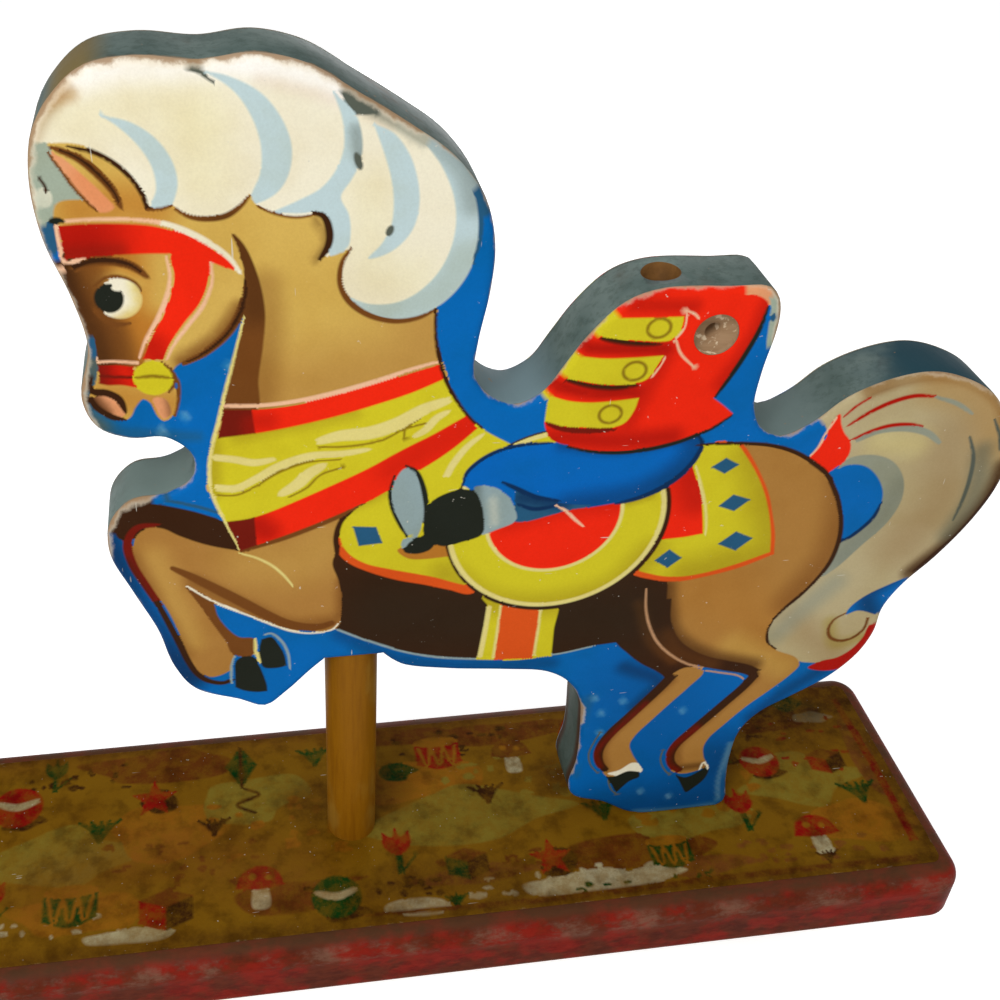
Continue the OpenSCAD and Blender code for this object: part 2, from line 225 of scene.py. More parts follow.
class HorseToyPaint(PropertyGroup):
    """Paint, wood and steel"""

    edge: colour("Edge paint", "Grey blue on the sawn edge of the horse", 114, 128, 123)
    edge_dark: colour("Edge paint, grimy", "Darker patches of the edge paint", 82, 98, 94)
    grime: colour("Grime", "Brown dirt in the paint", 74, 54, 34)
    base: colour("Base paint", "Red brown on the edge of the base board", 92, 38, 20)
    base_bright: colour("Base paint, bright", "Brighter red left in the base's paint", 126, 30, 18)
    wheel: colour("Wheel paint", "Red of the wheels", 150, 34, 22)
    worn_wood: colour("Worn wood", "Wood where the paint has rubbed off", 150, 118, 84)
    bare_wood: colour("Bare wood", "Axle blocks and bores", 172, 132, 88)
    varnish: colour("Varnish", "Ochre varnish of the post", 136, 88, 10)
    grain: colour("Grain", "Dark grain of the post", 112, 66, 6)
    steel: colour("Steel", "Axles, washers and caps", 150, 150, 148)
    screws: colour("Screws", "Tarnished screws", 128, 116, 88)
    wear: share("Wear", "How far the paint is rubbed off along edges", 0.5)


class HorseToyStage(PropertyGroup):
    """Camera, lamps and floor"""

    focal: FloatProperty(
        name="Focal length",
        description="Lens that gives the photograph's view",
        subtype="DISTANCE_CAMERA",
        min=10.0,
        default=46.296,
    )
    camera_from_post: FloatVectorProperty(
        name="Camera",
        description="Place of the camera from the foot of the post, on the base's paper",
        subtype="XYZ_LENGTH",
        unit="LENGTH",
        default=(-0.0310, -0.2820, 0.3530),
    )
    azimuth: FloatProperty(
        name="Azimuth",
        description="How far the camera looks to the right of square",
        subtype="ANGLE",
        unit="ROTATION",
        default=math.radians(9.004),
    )
    elevation: FloatProperty(
        name="Elevation",
        description="How far the camera looks down",
        subtype="ANGLE",
        unit="ROTATION",
        default=math.radians(35.706),
    )
    roll: FloatProperty(
        name="Roll",
        description="Tilt of the camera about its own axis",
        subtype="ANGLE",
        unit="ROTATION",
        default=math.radians(1.400),
    )
    shift: FloatVectorProperty(
        name="Shift",
        description="Shift of the picture, in widths of the frame",
        size=2,
        default=(0.100, -0.035),
    )
    floor: colour("Floor", "Plain pale floor", 236, 236, 236)
    key: FloatProperty(
        name="Key lamp", description="Power of the key lamp", unit="POWER", min=0.0, default=6.2
    )
    fill: FloatProperty(
        name="Fill lamp", description="Power of the fill lamp", unit="POWER", min=0.0, default=1.4
    )
    back: FloatProperty(
        name="Back lamp", description="Power of the back lamp", unit="POWER", min=0.0, default=2.0
    )
    sky_light: FloatProperty(
        name="Sky light", description="Strength of the even light from all round", min=0.0, default=0.45
    )


GROUPS = {
    "horse_toy_inks": HorseToyInks,
    "horse_toy_paint": HorseToyPaint,
    "horse_toy_stage": HorseToyStage,
}


def inks():
    return bpy.context.scene.horse_toy_inks


def paint():
    return bpy.context.scene.horse_toy_paint


# Where handling has rubbed the horse's edge: how hard, how far it reaches in millimetres, then the
# points of its line
RUBBED_EDGES = (
    (0.50, 11, (-70, 238), (-68, 251), (-60, 260), (-46, 264), (-33, 263), (-21, 265), (-9, 262),
     (2, 256), (13, 249)),
    (0.30, 9, (-71, 236), (-70, 223), (-66, 208), (-64, 195), (-67, 181), (-64, 172)),
    (0.60, 8, (-66, 187), (-68, 180), (-66, 174)),
    (0.30, 8, (-64, 172), (-56, 168)),
    (0.45, 8, (-56, 149), (-63, 143), (-65, 134)),
    (0.22, 6, (70, 201), (78, 203), (96, 203), (106, 203)),
    (0.65, 7, (109, 201), (111, 195), (111, 189)),
    (0.26, 9, (150, 172), (158, 173), (169, 170), (178, 164), (185, 154), (189, 143), (188, 132)),
    (0.60, 5, (72, 50), (71.6, 54)),
    (0.30, 8, (98, 0), (112, 0), (126, 1)),
    (0.25, 8, (163, 80), (160, 68), (152, 60)),
    (0.25, 8, (-46, 79), (-34, 73), (-27, 70)),
)


# Places on the horse's sawn edge where its paint is paler, darker or dirty: the first three are
# painted light, paler in the dips that fall into shade. Each row is the place, how far it reaches,
# in millimetres, and the colour there
TINTED_EDGES = (
    (42, 167, 22, (0.44, 0.52, 0.54)),
    (118, 157, 18, (0.41, 0.47, 0.46)),
    (-52, 150, 16, (0.43, 0.49, 0.47)),
    (163, 176, 30, (0.14, 0.26, 0.30)),
    (-62, 263, 12, (0.45, 0.39, 0.24)),
    (-75, 246, 10, (0.42, 0.33, 0.20)),
)


# Curves

def spline_span(a, b, c, d, u):
    """Points at fractions u of the smooth curve from b to c, between neighbours a and d"""
    t1 = math.sqrt(max(math.dist(a, b), 1e-6))
    t2 = t1 + math.sqrt(max(math.dist(b, c), 1e-6))
    t3 = t2 + math.sqrt(max(math.dist(c, d), 1e-6))
    a, b, c, d = (np.array(p, float) for p in (a, b, c, d))
    t = (t1 + u * (t2 - t1))[:, None]
    ab = ((t1 - t) * a + t * b) / t1
    bc = ((t2 - t) * b + (t - t1) * c) / (t2 - t1)
    cd = ((t3 - t) * c + (t - t2) * d) / (t3 - t2)
    abc = ((t2 - t) * ab + t * bc) / t2
    bcd = ((t3 - t) * bc + (t - t1) * cd) / (t3 - t1)
    return ((t2 - t) * abc + (t - t1) * bcd) / (t2 - t1)


def curve_points(run, step):
    """Points about step apart on the smooth curve from the second to the last but one of run"""
    spans = []
    for i in range(1, len(run) - 2):
        count = max(1, round(math.dist(run[i], run[i + 1]) / step))
        spans.append(spline_span(*run[i - 1:i + 3], np.arange(count) / count))
    return np.vstack(spans)


def smooth_line(points, step):
    """Points about step apart on a smooth open curve through the given ones"""
    flat = [p[:2] for p in points]
    before = tuple(2 * s - t for s, t in zip(flat[0], flat[1]))
    after = tuple(2 * s - t for s, t in zip(flat[-1], flat[-2]))
    return np.vstack([curve_points([before, *flat, after], step), flat[-1]])


def smooth_loop(points, step):
    """The same round a closed loop, where a point with a third value is a sharp corner"""
    corners = [i for i, p in enumerate(points) if len(p) > 2]
    if not corners:
        return curve_points([p[:2] for p in (points[-1], *points, *points[:2])], step)
    first = corners[0]
    turned = [*points[first:], *points[:first + 1]]
    stops = [i for i, p in enumerate(turned) if len(p) > 2]
    return np.vstack([smooth_line(turned[a:b + 1], step)[:-1] for a, b in zip(stops, stops[1:])])


def signed_area(loop):
    x, y = loop[:, 0], loop[:, 1]
    return 0.5 * float(np.sum(x * np.roll(y, -1) - np.roll(x, -1) * y))


def counter_clockwise(loop):
    return loop if signed_area(loop) > 0 else loop[::-1]


def unit(vectors):
    """The same directions at a length of one"""
    return vectors / np.maximum(np.linalg.norm(vectors, axis=1), 1e-9)[:, None]


def outward(loop):
    """Unit normals of a closed counter-clockwise loop, pointing out of it"""
    along = unit(np.roll(loop, -1, axis=0) - np.roll(loop, 1, axis=0))
    return np.stack([along[:, 1], -along[:, 0]], axis=1)


def distance_to(points, run, closed=False):
    """Distance of each point to a line through the points of run"""
    start = run if closed else run[:-1]
    end = np.roll(run, -1, axis=0) if closed else run[1:]
    nearest = np.full(len(points), np.inf)
    for a, b in zip(start, end):
        along = b - a
        size = max(float(along @ along), 1e-12)
        t = np.clip(((points - a) @ along) / size, 0, 1)[:, None]
        nearest = np.minimum(nearest, np.linalg.norm(points - (a + t * along), axis=1))
    return nearest


def soft_share(points, run, reach, strength):
    """A share at each point that falls softly from strength on a line to none at its reach"""
    near = 1 - np.clip(distance_to(points, run) / reach, 0, 1)
    return strength * near * near * (3 - 2 * near)


def inside(points, loop):
    """Which points lie inside a closed loop"""
    x, y = points[:, 0], points[:, 1]
    hit = np.zeros(len(points), bool)
    for (x0, y0), (x1, y1) in zip(loop, np.roll(loop, -1, axis=0)):
        if y0 != y1:
            crosses = (y0 > y) != (y1 > y)
            hit ^= crosses & (x < (x1 - x0) * (y - y0) / (y1 - y0) + x0)
    return hit


def joined_loops(edges):
    """Closed loops of the edges that have no neighbour on their other side"""
    follow = {a: b for a, b in edges if (b, a) not in edges}
    loops = []
    while follow:
        start, at = follow.popitem()
        loop = [start]
        while at != start:
            loop.append(at)
            at = follow.pop(at)
        loops.append(loop)
    return loops


# What a picture is drawn with: areas of ink, in order from the back. An area is its ink, its closed
# loop and, for a brush line, the middle of the line

def area(ink, *points):
    return ink, counter_clockwise(smooth_loop(points, LOOP_STEP)), None


def disc(ink, centre, radius, high=None, turn=0.0):
    """A round or oval spot of ink"""
    high = high or radius
    count = max(12, round(2 * math.pi * max(radius, high) / LOOP_STEP))
    angles = np.arange(count) * 2 * math.pi / count
    flat = np.stack([radius * np.cos(angles), high * np.sin(angles)], axis=1)
    c, s = math.cos(turn), math.sin(turn)
    return ink, flat @ np.array([[c, s], [-s, c]]) + np.array(centre), None


def line(ink, wide, *points, tips=(0.35, 0.35)):
    """A brush line of ink, wide in the middle and narrower at its tips, as shares of wide"""
    middle_line = smooth_line(points, LOOP_STEP)
    along = unit(np.gradient(middle_line, axis=0))
    across = np.stack([-along[:, 1], along[:, 0]], axis=1)
    t = np.linspace(0, 1, len(middle_line))
    ends = tips[0] * (1 - t) + tips[1] * t
    half = wide / 2 * (ends + (1 - ends) * np.sqrt(np.clip(np.sin(math.pi * t), 0, 1)))
    left = middle_line + across * half[:, None]
    right = middle_line - across * half[:, None]
    return ink, counter_clockwise(np.vstack([right, left[::-1]])), middle_line


# The horse's picture: x along the board, then height, in millimetres

# Neck, chest, belly and rump
COAT_AREAS = [
    area("coat", (-33, 231), (-15, 240), (5, 236), (18, 222), (20.5, 201), (20.8, 193), (22.5, 186),
        (24, 176), (0, 160), (-38, 150), (-37.6, 158), (-36, 166), (-34, 172), (-32, 180), (-30, 187),
        (-28, 195), (-26.3, 201)),
    area("shade", (-33, 225), (-30, 225), (-26, 221.4), (-22.8, 213), (-21.4, 203), (-22.2, 194),
        (-23.8, 184), (-24.6, 175), (-33, 175), (-31.6, 181), (-30, 187), (-28, 195), (-26.6, 201),
        (-25.8, 208), (-26, 215), (-28.5, 220.6)),
    area("tan", (-31, 132), (-20, 137), (-5, 143), (5, 146), (2, 118), (-3, 108), (-5, 98.6), (-12, 98),
        (-40, 112), (-50, 122), (-46, 135)),
    area("umber", (-6, 124), (-4.4, 116), (-3.8, 108), (-4.2, 102), (-5.2, 98.6, 1), (0, 95.2), (5, 92),
        (15, 87), (25, 83.8), (38, 81.4), (50, 80.3), (62, 80.6), (72, 82.4), (79, 83), (92, 84), (98, 100),
        (90, 112), (50, 122), (20, 128), (0, 132)),
    area("tan", (94, 154.4), (106, 154), (115, 152.6), (122, 150), (128, 146.2), (133, 142), (138, 134.5),
        (141, 127), (142.6, 118), (142, 110), (139.5, 103), (136, 97), (131.5, 91), (128.8, 87), (128.6, 82),
        (131, 75), (140, 69.5), (141.8, 66), (139.5, 62), (134, 56), (127, 49), (121, 41.5), (117, 36),
        (115.8, 31.5), (116.6, 27), (118.2, 22), (112, 19.4), (107.5, 20.4), (104.4, 24.6), (103.6, 29.5),
        (106, 33.4), (110.5, 39), (116, 46), (121, 53), (126, 61), (127.6, 64.6), (120, 66.4), (110, 70),
        (101, 75), (95, 84), (92, 96), (89, 110), (86, 130)),
]


# Inner thigh, the two hind legs' shadows, and the raised forelegs
LEG_AREAS = [
    area("umber", (84, 114), (80, 96), (79.4, 84), (84, 78), (89, 73), (94, 69.4), (97.4, 66), (97.6, 63),
        (102, 65), (108, 68), (104, 75), (97.6, 82), (94.6, 90), (93.6, 98), (90.4, 113)),
    area("tan", (98.6, 66), (104, 69.6), (110, 67), (106, 60.5), (101, 54), (96, 47.2), (91.4, 40.6),
        (90, 36.4), (91.6, 31.5), (94, 27), (95.6, 23.6), (92, 21.6), (85, 21.2), (82, 24.6), (80, 29),
        (78.8, 33.6), (80, 38.4), (84, 44), (89, 51), (94, 59)),
    line("smudge", 0.5, (79.6, 44.4), (77.8, 39.4), (76.6, 34), (77.8, 28.4), (81, 23.4)),
    line("umber", 3.6, (100.4, 67.4), (97, 62), (92, 55), (87.6, 49), (83.4, 43.4), (80.6, 38), (79.8, 33.4),
        (81, 28.4), (83.6, 24.8), tips=(1.0, 0.5)),
    line("smudge", 0.5, (102, 33), (101.6, 28), (103.4, 23), (106.4, 18.8)),
    line("umber", 3.4, (127.6, 63.6), (124.6, 58.4), (120, 52.4), (115, 46), (110, 39.6), (106, 34),
        (104.8, 29.4), (105.8, 25), (109.4, 20.8), tips=(1.0, 0.7)),
    line("umber", 4.4, (93, 99), (94, 90), (98, 81), (103.4, 75.4), (110, 71.4), (117, 68.8), (124, 66.4),
        (128.2, 63.8), tips=(0.8, 0.8)),
    line("fawn", 0.6, (110, 67.6), (116, 65.8), (122, 63.8), (124.6, 61.6)),
    line("fawn", 0.9, (86.4, 104), (87.4, 96), (89.6, 88.4), (93.4, 81), (98.4, 75.4), (104, 71.2),
        (109.6, 68.6), tips=(0.4, 1.0)),
    area("cream", (84.2, 23.2), (88, 24.4), (92, 27.4), (94.6, 26.4), (96, 22.6), (90, 21)),
    area("black", (83.8, 21.8, 1), (87, 21.6), (91, 23.4), (95, 22.6, 1), (95.4, 20), (92.4, 18.4),
        (89.6, 15), (88.4, 13.4), (86.4, 17)),
    area("black", (108, 19.2, 1), (112, 17.4), (116, 19.6), (119, 22.4, 1), (119.6, 19), (118.4, 15),
        (116, 12), (113.2, 9.6), (111.4, 12.6), (109.8, 16)),
    line("cream", 0.9, (116.2, 20.8), (117.2, 24), (118.4, 22.6), (119.4, 20)),
    line("smudge", 0.5, (84.6, 20), (86.2, 15.4), (88.4, 12.2)),
    line("slate", 1.1, (-31.6, 141), (-40, 145.2), (-48, 148.2), (-54, 149.6)),
    area("umber", (-34.6, 139.6), (-40, 143.2), (-48, 146.4), (-54, 148), (-59, 146.8), (-63, 143),
        (-62.6, 137), (-57, 137), (-50, 137), (-45, 132), (-38, 128), (-31, 126)),
    area("tan", (-31, 129.8), (-40, 132.8), (-47, 136.6), (-51, 139.4), (-54.6, 139.9), (-57.8, 138),
        (-59.4, 133.6), (-58.8, 128), (-55.6, 119), (-52, 110), (-49.4, 100), (-47.2, 91), (-45.4, 86.2),
        (-42, 83.4), (-37, 85), (-35.2, 89), (-35.6, 94), (-38.4, 100), (-42, 108), (-45, 115), (-46.6, 119),
        (-40, 114), (-30, 106.4), (-20, 100.2), (-11, 98), (-5, 99), (-3.8, 104), (-4.6, 116), (-14, 126)),
    area("shade", (-46.6, 118.8), (-43, 116.2), (-39.6, 112.4), (-38.6, 107), (-36, 101.6), (-33, 98.2),
        (-29, 97.2), (-28.6, 93), (-29.6, 90.8), (-33, 90.6), (-35.4, 92), (-37, 97), (-40, 104),
        (-43, 111)),
    line("shade", 3.4, (-50, 125.8), (-45, 122.2), (-40, 118.2), (-35, 114.2), (-30, 110), (-25, 105.8),
        (-20, 102.2), (-15, 100.2), (-10, 99.6), (-6, 100.8), tips=(0.3, 0.5)),
    line("cream", 0.8, (-46.6, 119), (-39.6, 112.6), (-30, 106.2), (-22, 101), (-18, 98.8), (-12, 97.4),
        (-6.4, 98.2), (-4.2, 101)),
    line("straw", 0.8, (-31.4, 129), (-27, 127), (-23, 124), (-20, 120.4), (-17, 115.4)),
    line("maroon", 2.4, (-52, 140.8), (-57.6, 140.2), (-60.6, 135.4), (-60, 128), (-57, 119.6),
        (-54.2, 112.4), tips=(0.3, 0.8)),
    line("umber", 1.9, (-55, 114.4), (-52.4, 106), (-50, 97.6), (-48, 90.4), (-45.6, 84.8), (-42.6, 81.8),
        (-38.4, 80.6), (-35.6, 82), tips=(0.8, 0.6)),
    area("black", (-34.6, 88.6), (-32.6, 90.4), (-29.4, 90), (-28, 86.6), (-27, 83), (-26, 78),
        (-26, 75.6, 1), (-29, 75.6), (-33, 76.8), (-35.2, 78.4, 1), (-35, 84)),
    area("black", (-26.8, 96.6, 1), (-24, 97.2), (-22, 94), (-20.4, 89.4), (-20, 85.4, 1), (-22, 84.8),
        (-26.6, 85.4), (-27.4, 89), (-27.6, 93)),
    line("straw", 1.2, (-28.6, 97.4), (-28.6, 92.4), (-27.6, 87.4)),
    line("silver", 0.9, (-34.8, 91), (-36, 86), (-36.2, 80)),
    line("silver", 0.8, (-26.6, 98), (-24, 98.6), (-21, 95), (-19.4, 90), (-19, 84)),
    line("silver", 0.9, (-5, 98), (0, 94.8), (6, 91.4), (15, 86.8), (25, 83.4), (38, 81.2), (50, 80.2),
        (62, 80.5), (74, 82.6), tips=(0.8, 0.3)),
]


# Two red bands with a yellow one between them
COLLAR_AREAS = [
    area("yellow", (-35, 168), (-20, 170), (0, 174), (15, 178), (23.4, 181.4, 1), (25.6, 176), (29.4, 169.6),
        (34, 164.6), (43.4, 158.2, 1), (38, 156.6), (32, 152), (29, 147.4), (27, 144.4), (21, 142.6),
        (12, 147.6), (8, 149), (0, 145), (-12, 140), (-26, 135.2), (-32.6, 136), (-36.4, 146), (-37.6, 156)),
    line("straw", 2.2, (-36.6, 161.4), (-31, 160.2), (-26, 158.8), (-20, 159.6), tips=(0.9, 0.2)),
    line("straw", 2.4, (-36.6, 151.6), (-31, 151), (-26, 153.4), (-20, 157), (-12, 159.6), (-3, 159.8),
        (4, 160.6), tips=(0.9, 0.3)),
    line("ochre", 0.7, (-36.6, 149.2), (-31, 148.8), (-26, 151.2), (-20, 155), (-12, 157.8), (-3, 158)),
    line("straw", 3.4, (-20, 147.8), (-15.4, 150.6), (-12, 154), (-7.6, 156.8)),
    line("ochre", 0.7, (-18, 146.6), (-12.6, 149.6), (-9, 153.4), (-3, 155.4)),
    line("straw", 4.0, (-10, 164), (-4, 165.4), (4, 165.8), (11, 168), (18, 172), (25, 174.6)),
    line("ochre", 0.7, (-9, 162.4), (-2, 162), (7, 163.2), (13, 166.2), (20, 168)),
    line("straw", 2.2, (15.4, 163.6), (18.6, 165.6), (21.4, 169), (24.6, 171)),
    line("ochre", 0.7, (13, 163.4), (13.4, 166.4), (17, 169)),
    line("straw", 2.0, (20.8, 143.6), (24, 148.4), (26.4, 154), (30, 159.4), (34, 163)),
    line("orange", 1.4, (20.2, 143.4), (20.6, 145.8), (21.6, 148)),
    area("red", (-32.8, 175.6, 1), (-24, 175.2), (-15, 175.8), (-5, 177.8), (5, 180.4), (15, 183.4),
        (22.2, 185.4, 1), (23.2, 181, 1), (15, 177.4), (5, 174.2), (-5, 171.5), (-15, 169.4), (-25, 167.9),
        (-34.8, 167.2, 1)),
    area("maroon", (-32.8, 175.6, 1), (-25.9, 175.2, 1), (-25.3, 167.9, 1), (-34.8, 167.2, 1)),
    line("peach", 1.3, (-33.4, 176.8), (-24, 176.2), (-15, 176.8), (-5, 178.7), (5, 181.3), (15, 184.4),
        (21.8, 186.2), tips=(0.9, 0.6)),
    area("red", (-35, 140.1, 1), (-28, 140.7), (-22, 142.6), (-15, 145.6), (-5, 150.2), (0, 152.6),
        (5, 155.2), (10, 158.2), (15, 161), (20, 163.6), (25, 166.6), (29.2, 169.2, 1), (32.4, 165.1, 1),
        (27, 159.8), (22, 155.8), (17, 152.4), (13, 149.4), (8, 146), (0, 141.4), (-5, 139.2), (-10, 136.9),
        (-15, 134.9), (-20, 133.1), (-26, 131.4), (-31.2, 129.8, 1)),
    area("maroon", (-35, 140.1, 1), (-29, 140.6), (-26.8, 141, 1), (-26.6, 131.3, 1), (-31.2, 129.8, 1)),
    line("straw", 1.1, (-26.4, 201.6), (-28.2, 195), (-30.4, 187), (-32.4, 180), (-34.4, 172), (-36.4, 165),
        (-37.6, 158), (-37.6, 151), (-36.2, 145), (-34, 138), (-31.4, 130.4)),
    line("shade", 1.6, (-31, 129.4), (-26, 131), (-20, 132.8), (-12, 135.8), (-5, 138.8), (0, 141.2),
        (5, 143.8)),
]


# Head, bridle, eye and ear
HEAD_AREAS = [
    area("sage", (-78, 248.4), (-66.6, 247.4), (-62, 237), (-58.6, 231), (-60, 227.4), (-80, 228)),
    disc("cream", (-68.6, 234), 1.8, 2.4),
    line("umber", 0.7, (-69, 238.6), (-68, 236.4), (-68.4, 235)),
    area("slate", (-71, 227), (-68.6, 228.2), (-65.8, 226), (-66.8, 222), (-69.6, 219.6)),
    area("coat", (-66, 232.6), (-56, 233), (-46, 234), (-36, 231), (-31, 228.4), (-27.6, 221.6),
        (-25.9, 215), (-26.2, 209), (-27.8, 203.4), (-31, 198), (-36, 193.4), (-41, 190.6), (-44, 188.4),
        (-44.2, 184), (-44.2, 179), (-45.4, 175), (-47.6, 173.4), (-49.2, 175), (-50.6, 179), (-52.2, 180.2),
        (-54, 178.4), (-56, 175), (-58.4, 174.4), (-61.6, 175.8), (-64.6, 178.4), (-65.2, 181.6),
        (-63.4, 185), (-62, 190), (-62.2, 197), (-63.6, 204), (-65.4, 211), (-67, 219), (-67.4, 227)),
    area("amber", (-43, 221), (-67, 221), (-65, 210), (-63.4, 203), (-62, 196), (-61.6, 190), (-51.6, 190),
        (-49.6, 196), (-46.2, 202), (-43.8, 208), (-42.8, 214)),
    line("peach", 1.0, (-66.8, 217), (-65.8, 211), (-64, 204), (-62.6, 197), (-62, 191.6)),
    line("slate", 1.0, (-62.8, 199.4), (-62.2, 195.6), (-62.4, 192)),
    area("red", (-66.6, 227.2, 1), (-60, 227.4), (-50, 226.8), (-45, 226), (-40, 224.3), (-35, 221.4),
        (-30, 217.4), (-27.2, 213.8, 1), (-31, 215.4), (-34.6, 217.2), (-38, 218.6), (-45, 219.3),
        (-55, 219.4), (-66, 218.9, 1)),
    line("cream", 1.5, (-50, 228), (-45, 227.2), (-40, 225.4), (-34, 221.8), (-28.8, 217), (-26.8, 213.4),
        tips=(0.4, 0.5)),
    line("peach", 0.9, (-66.8, 228.2), (-59, 228.4), (-50, 228), (-44, 227), tips=(1, 1)),
    line("peach", 0.9, (-66.9, 228), (-66.8, 223), (-66.4, 218.4), (-62, 218.6), (-57, 219), tips=(1, 0.3)),
    disc("black", (-66.8, 228.4), 1.7, 0.9),
    area("red", (-42.2, 218.9), (-42, 213.4), (-43.4, 208), (-46, 202), (-49.2, 196.4), (-51.2, 191.6, 1),
        (-46.4, 191, 1), (-44.6, 195), (-40.6, 201), (-36.6, 206), (-34.2, 212), (-34, 217.4)),
    line("peach", 1.1, (-33.4, 216.6), (-33.4, 211.8), (-36, 205.2), (-39.8, 200.2), (-43.8, 194.8),
        (-45.8, 190.6)),
    line("peach", 1.1, (-43.4, 218.6), (-42.9, 213.4), (-44.2, 208.2), (-46.8, 202.4), (-50, 196.8),
        (-52, 192)),
    line("shade", 1.4, (-61, 205.6), (-59, 202.8), (-56, 201.4), (-53, 201.6), tips=(0.9, 0.2)),
    disc("cream", (-55, 208.2), 5.2, 5.3),
    disc("black", (-57.4, 208.4), 3.4, 3.8),
    disc("cream", (-55.2, 211.2), 1.4, 1.0),
    line("shade", 2.4, (-64.6, 216.4), (-60, 218), (-55, 217.8), (-51, 216.2), (-48.8, 214.2),
        (-47.6, 212.6), tips=(0.8, 0.2)),
    line("umber", 1.3, (-64.6, 216.8), (-60, 218.2), (-55, 218), (-51.4, 216.6), (-49.4, 214.8),
        tips=(0.8, 0.2)),
    line("shade", 0.9, (-60.6, 211.6), (-57.4, 213.8), (-54, 213.9), (-51, 212.2), (-49.6, 209.8)),
    area("dark_red", (-61.8, 190.6, 1), (-57.6, 190.4), (-53.8, 189.6, 1), (-53.4, 183.6, 1), (-57, 184.6),
        (-60.4, 184.8), (-62.2, 185.4, 1)),
    line("maroon", 0.9, (-62, 187.6), (-58, 187), (-53.6, 186.6), tips=(1, 1)),
    line("peach", 0.9, (-62, 191.4), (-57.6, 191.3), (-52.4, 190.6), tips=(1, 1)),
    disc("yellow", (-49.2, 186.1), 4.9, 4.9),
    line("ochre", 1.1, (-53.8, 186.4), (-49.2, 186.6), (-44.8, 185.8)),
    line("shade", 1.0, (-46.8, 190.6), (-44.6, 187.8), (-44.2, 184.6), (-46, 181.6)),
    area("pink", (-64.4, 181), (-62, 181.8), (-59.6, 180.6), (-58, 178.2), (-57.2, 175.8), (-58.8, 175),
        (-61.4, 176.2), (-63.8, 178.4)),
    area("pink", (-49.8, 180.2), (-47, 180), (-45.8, 177), (-46.2, 174.8), (-47.8, 174), (-49.2, 176.6)),
    line("umber", 2.0, (-64.8, 187), (-64.2, 183.4), (-60.8, 182.6), (-58, 180.6), (-56.8, 176.6),
        tips=(1.0, 0.3)),
    line("umber", 1.8, (-65, 181.6), (-63.4, 178.2), (-60, 175.4), (-57, 174.4), tips=(0.8, 0.3)),
    line("shade", 1.0, (-44.6, 188.6), (-43.4, 184.4), (-43.8, 179), (-45, 174.6)),
    line("shade", 2.2, (-27, 221.4), (-25.2, 215), (-25.4, 209), (-27.4, 202.6), (-31, 197), (-36.4, 192.4),
        (-42, 189.6), tips=(0.2, 0.5)),
    line("umber", 1.0, (-25.6, 212), (-25.8, 208), (-27.6, 202.2), (-31.2, 196.8), (-36.6, 192.2),
        (-41, 190), tips=(0.2, 0.4)),
    area("coat", (-66.8, 247.4, 1), (-60, 246.8), (-54.4, 244.6), (-50, 240.6), (-47, 235.4), (-45.6, 230.6),
        (-47, 229.4), (-56, 229.6), (-58.4, 231), (-60.4, 233.4), (-63.2, 238.4)),
    area("pink", (-65.8, 244.6), (-63, 242.6), (-59, 238.2), (-55.6, 234), (-53.8, 231), (-55.8, 229.9),
        (-58.6, 231), (-61.6, 235), (-64.2, 239.8)),
    line("shade", 2.1, (-65.6, 245.6), (-60.4, 243), (-56.4, 239), (-53.4, 234.6), (-52.2, 230.8)),
    line("umber", 1.0, (-64, 245), (-60.2, 243), (-56.2, 239), (-53.4, 234.8), (-52.6, 232)),
    line("shade", 0.9, (-66.4, 244.6), (-63.6, 239), (-60.4, 233.6), (-57.6, 230.4)),
]


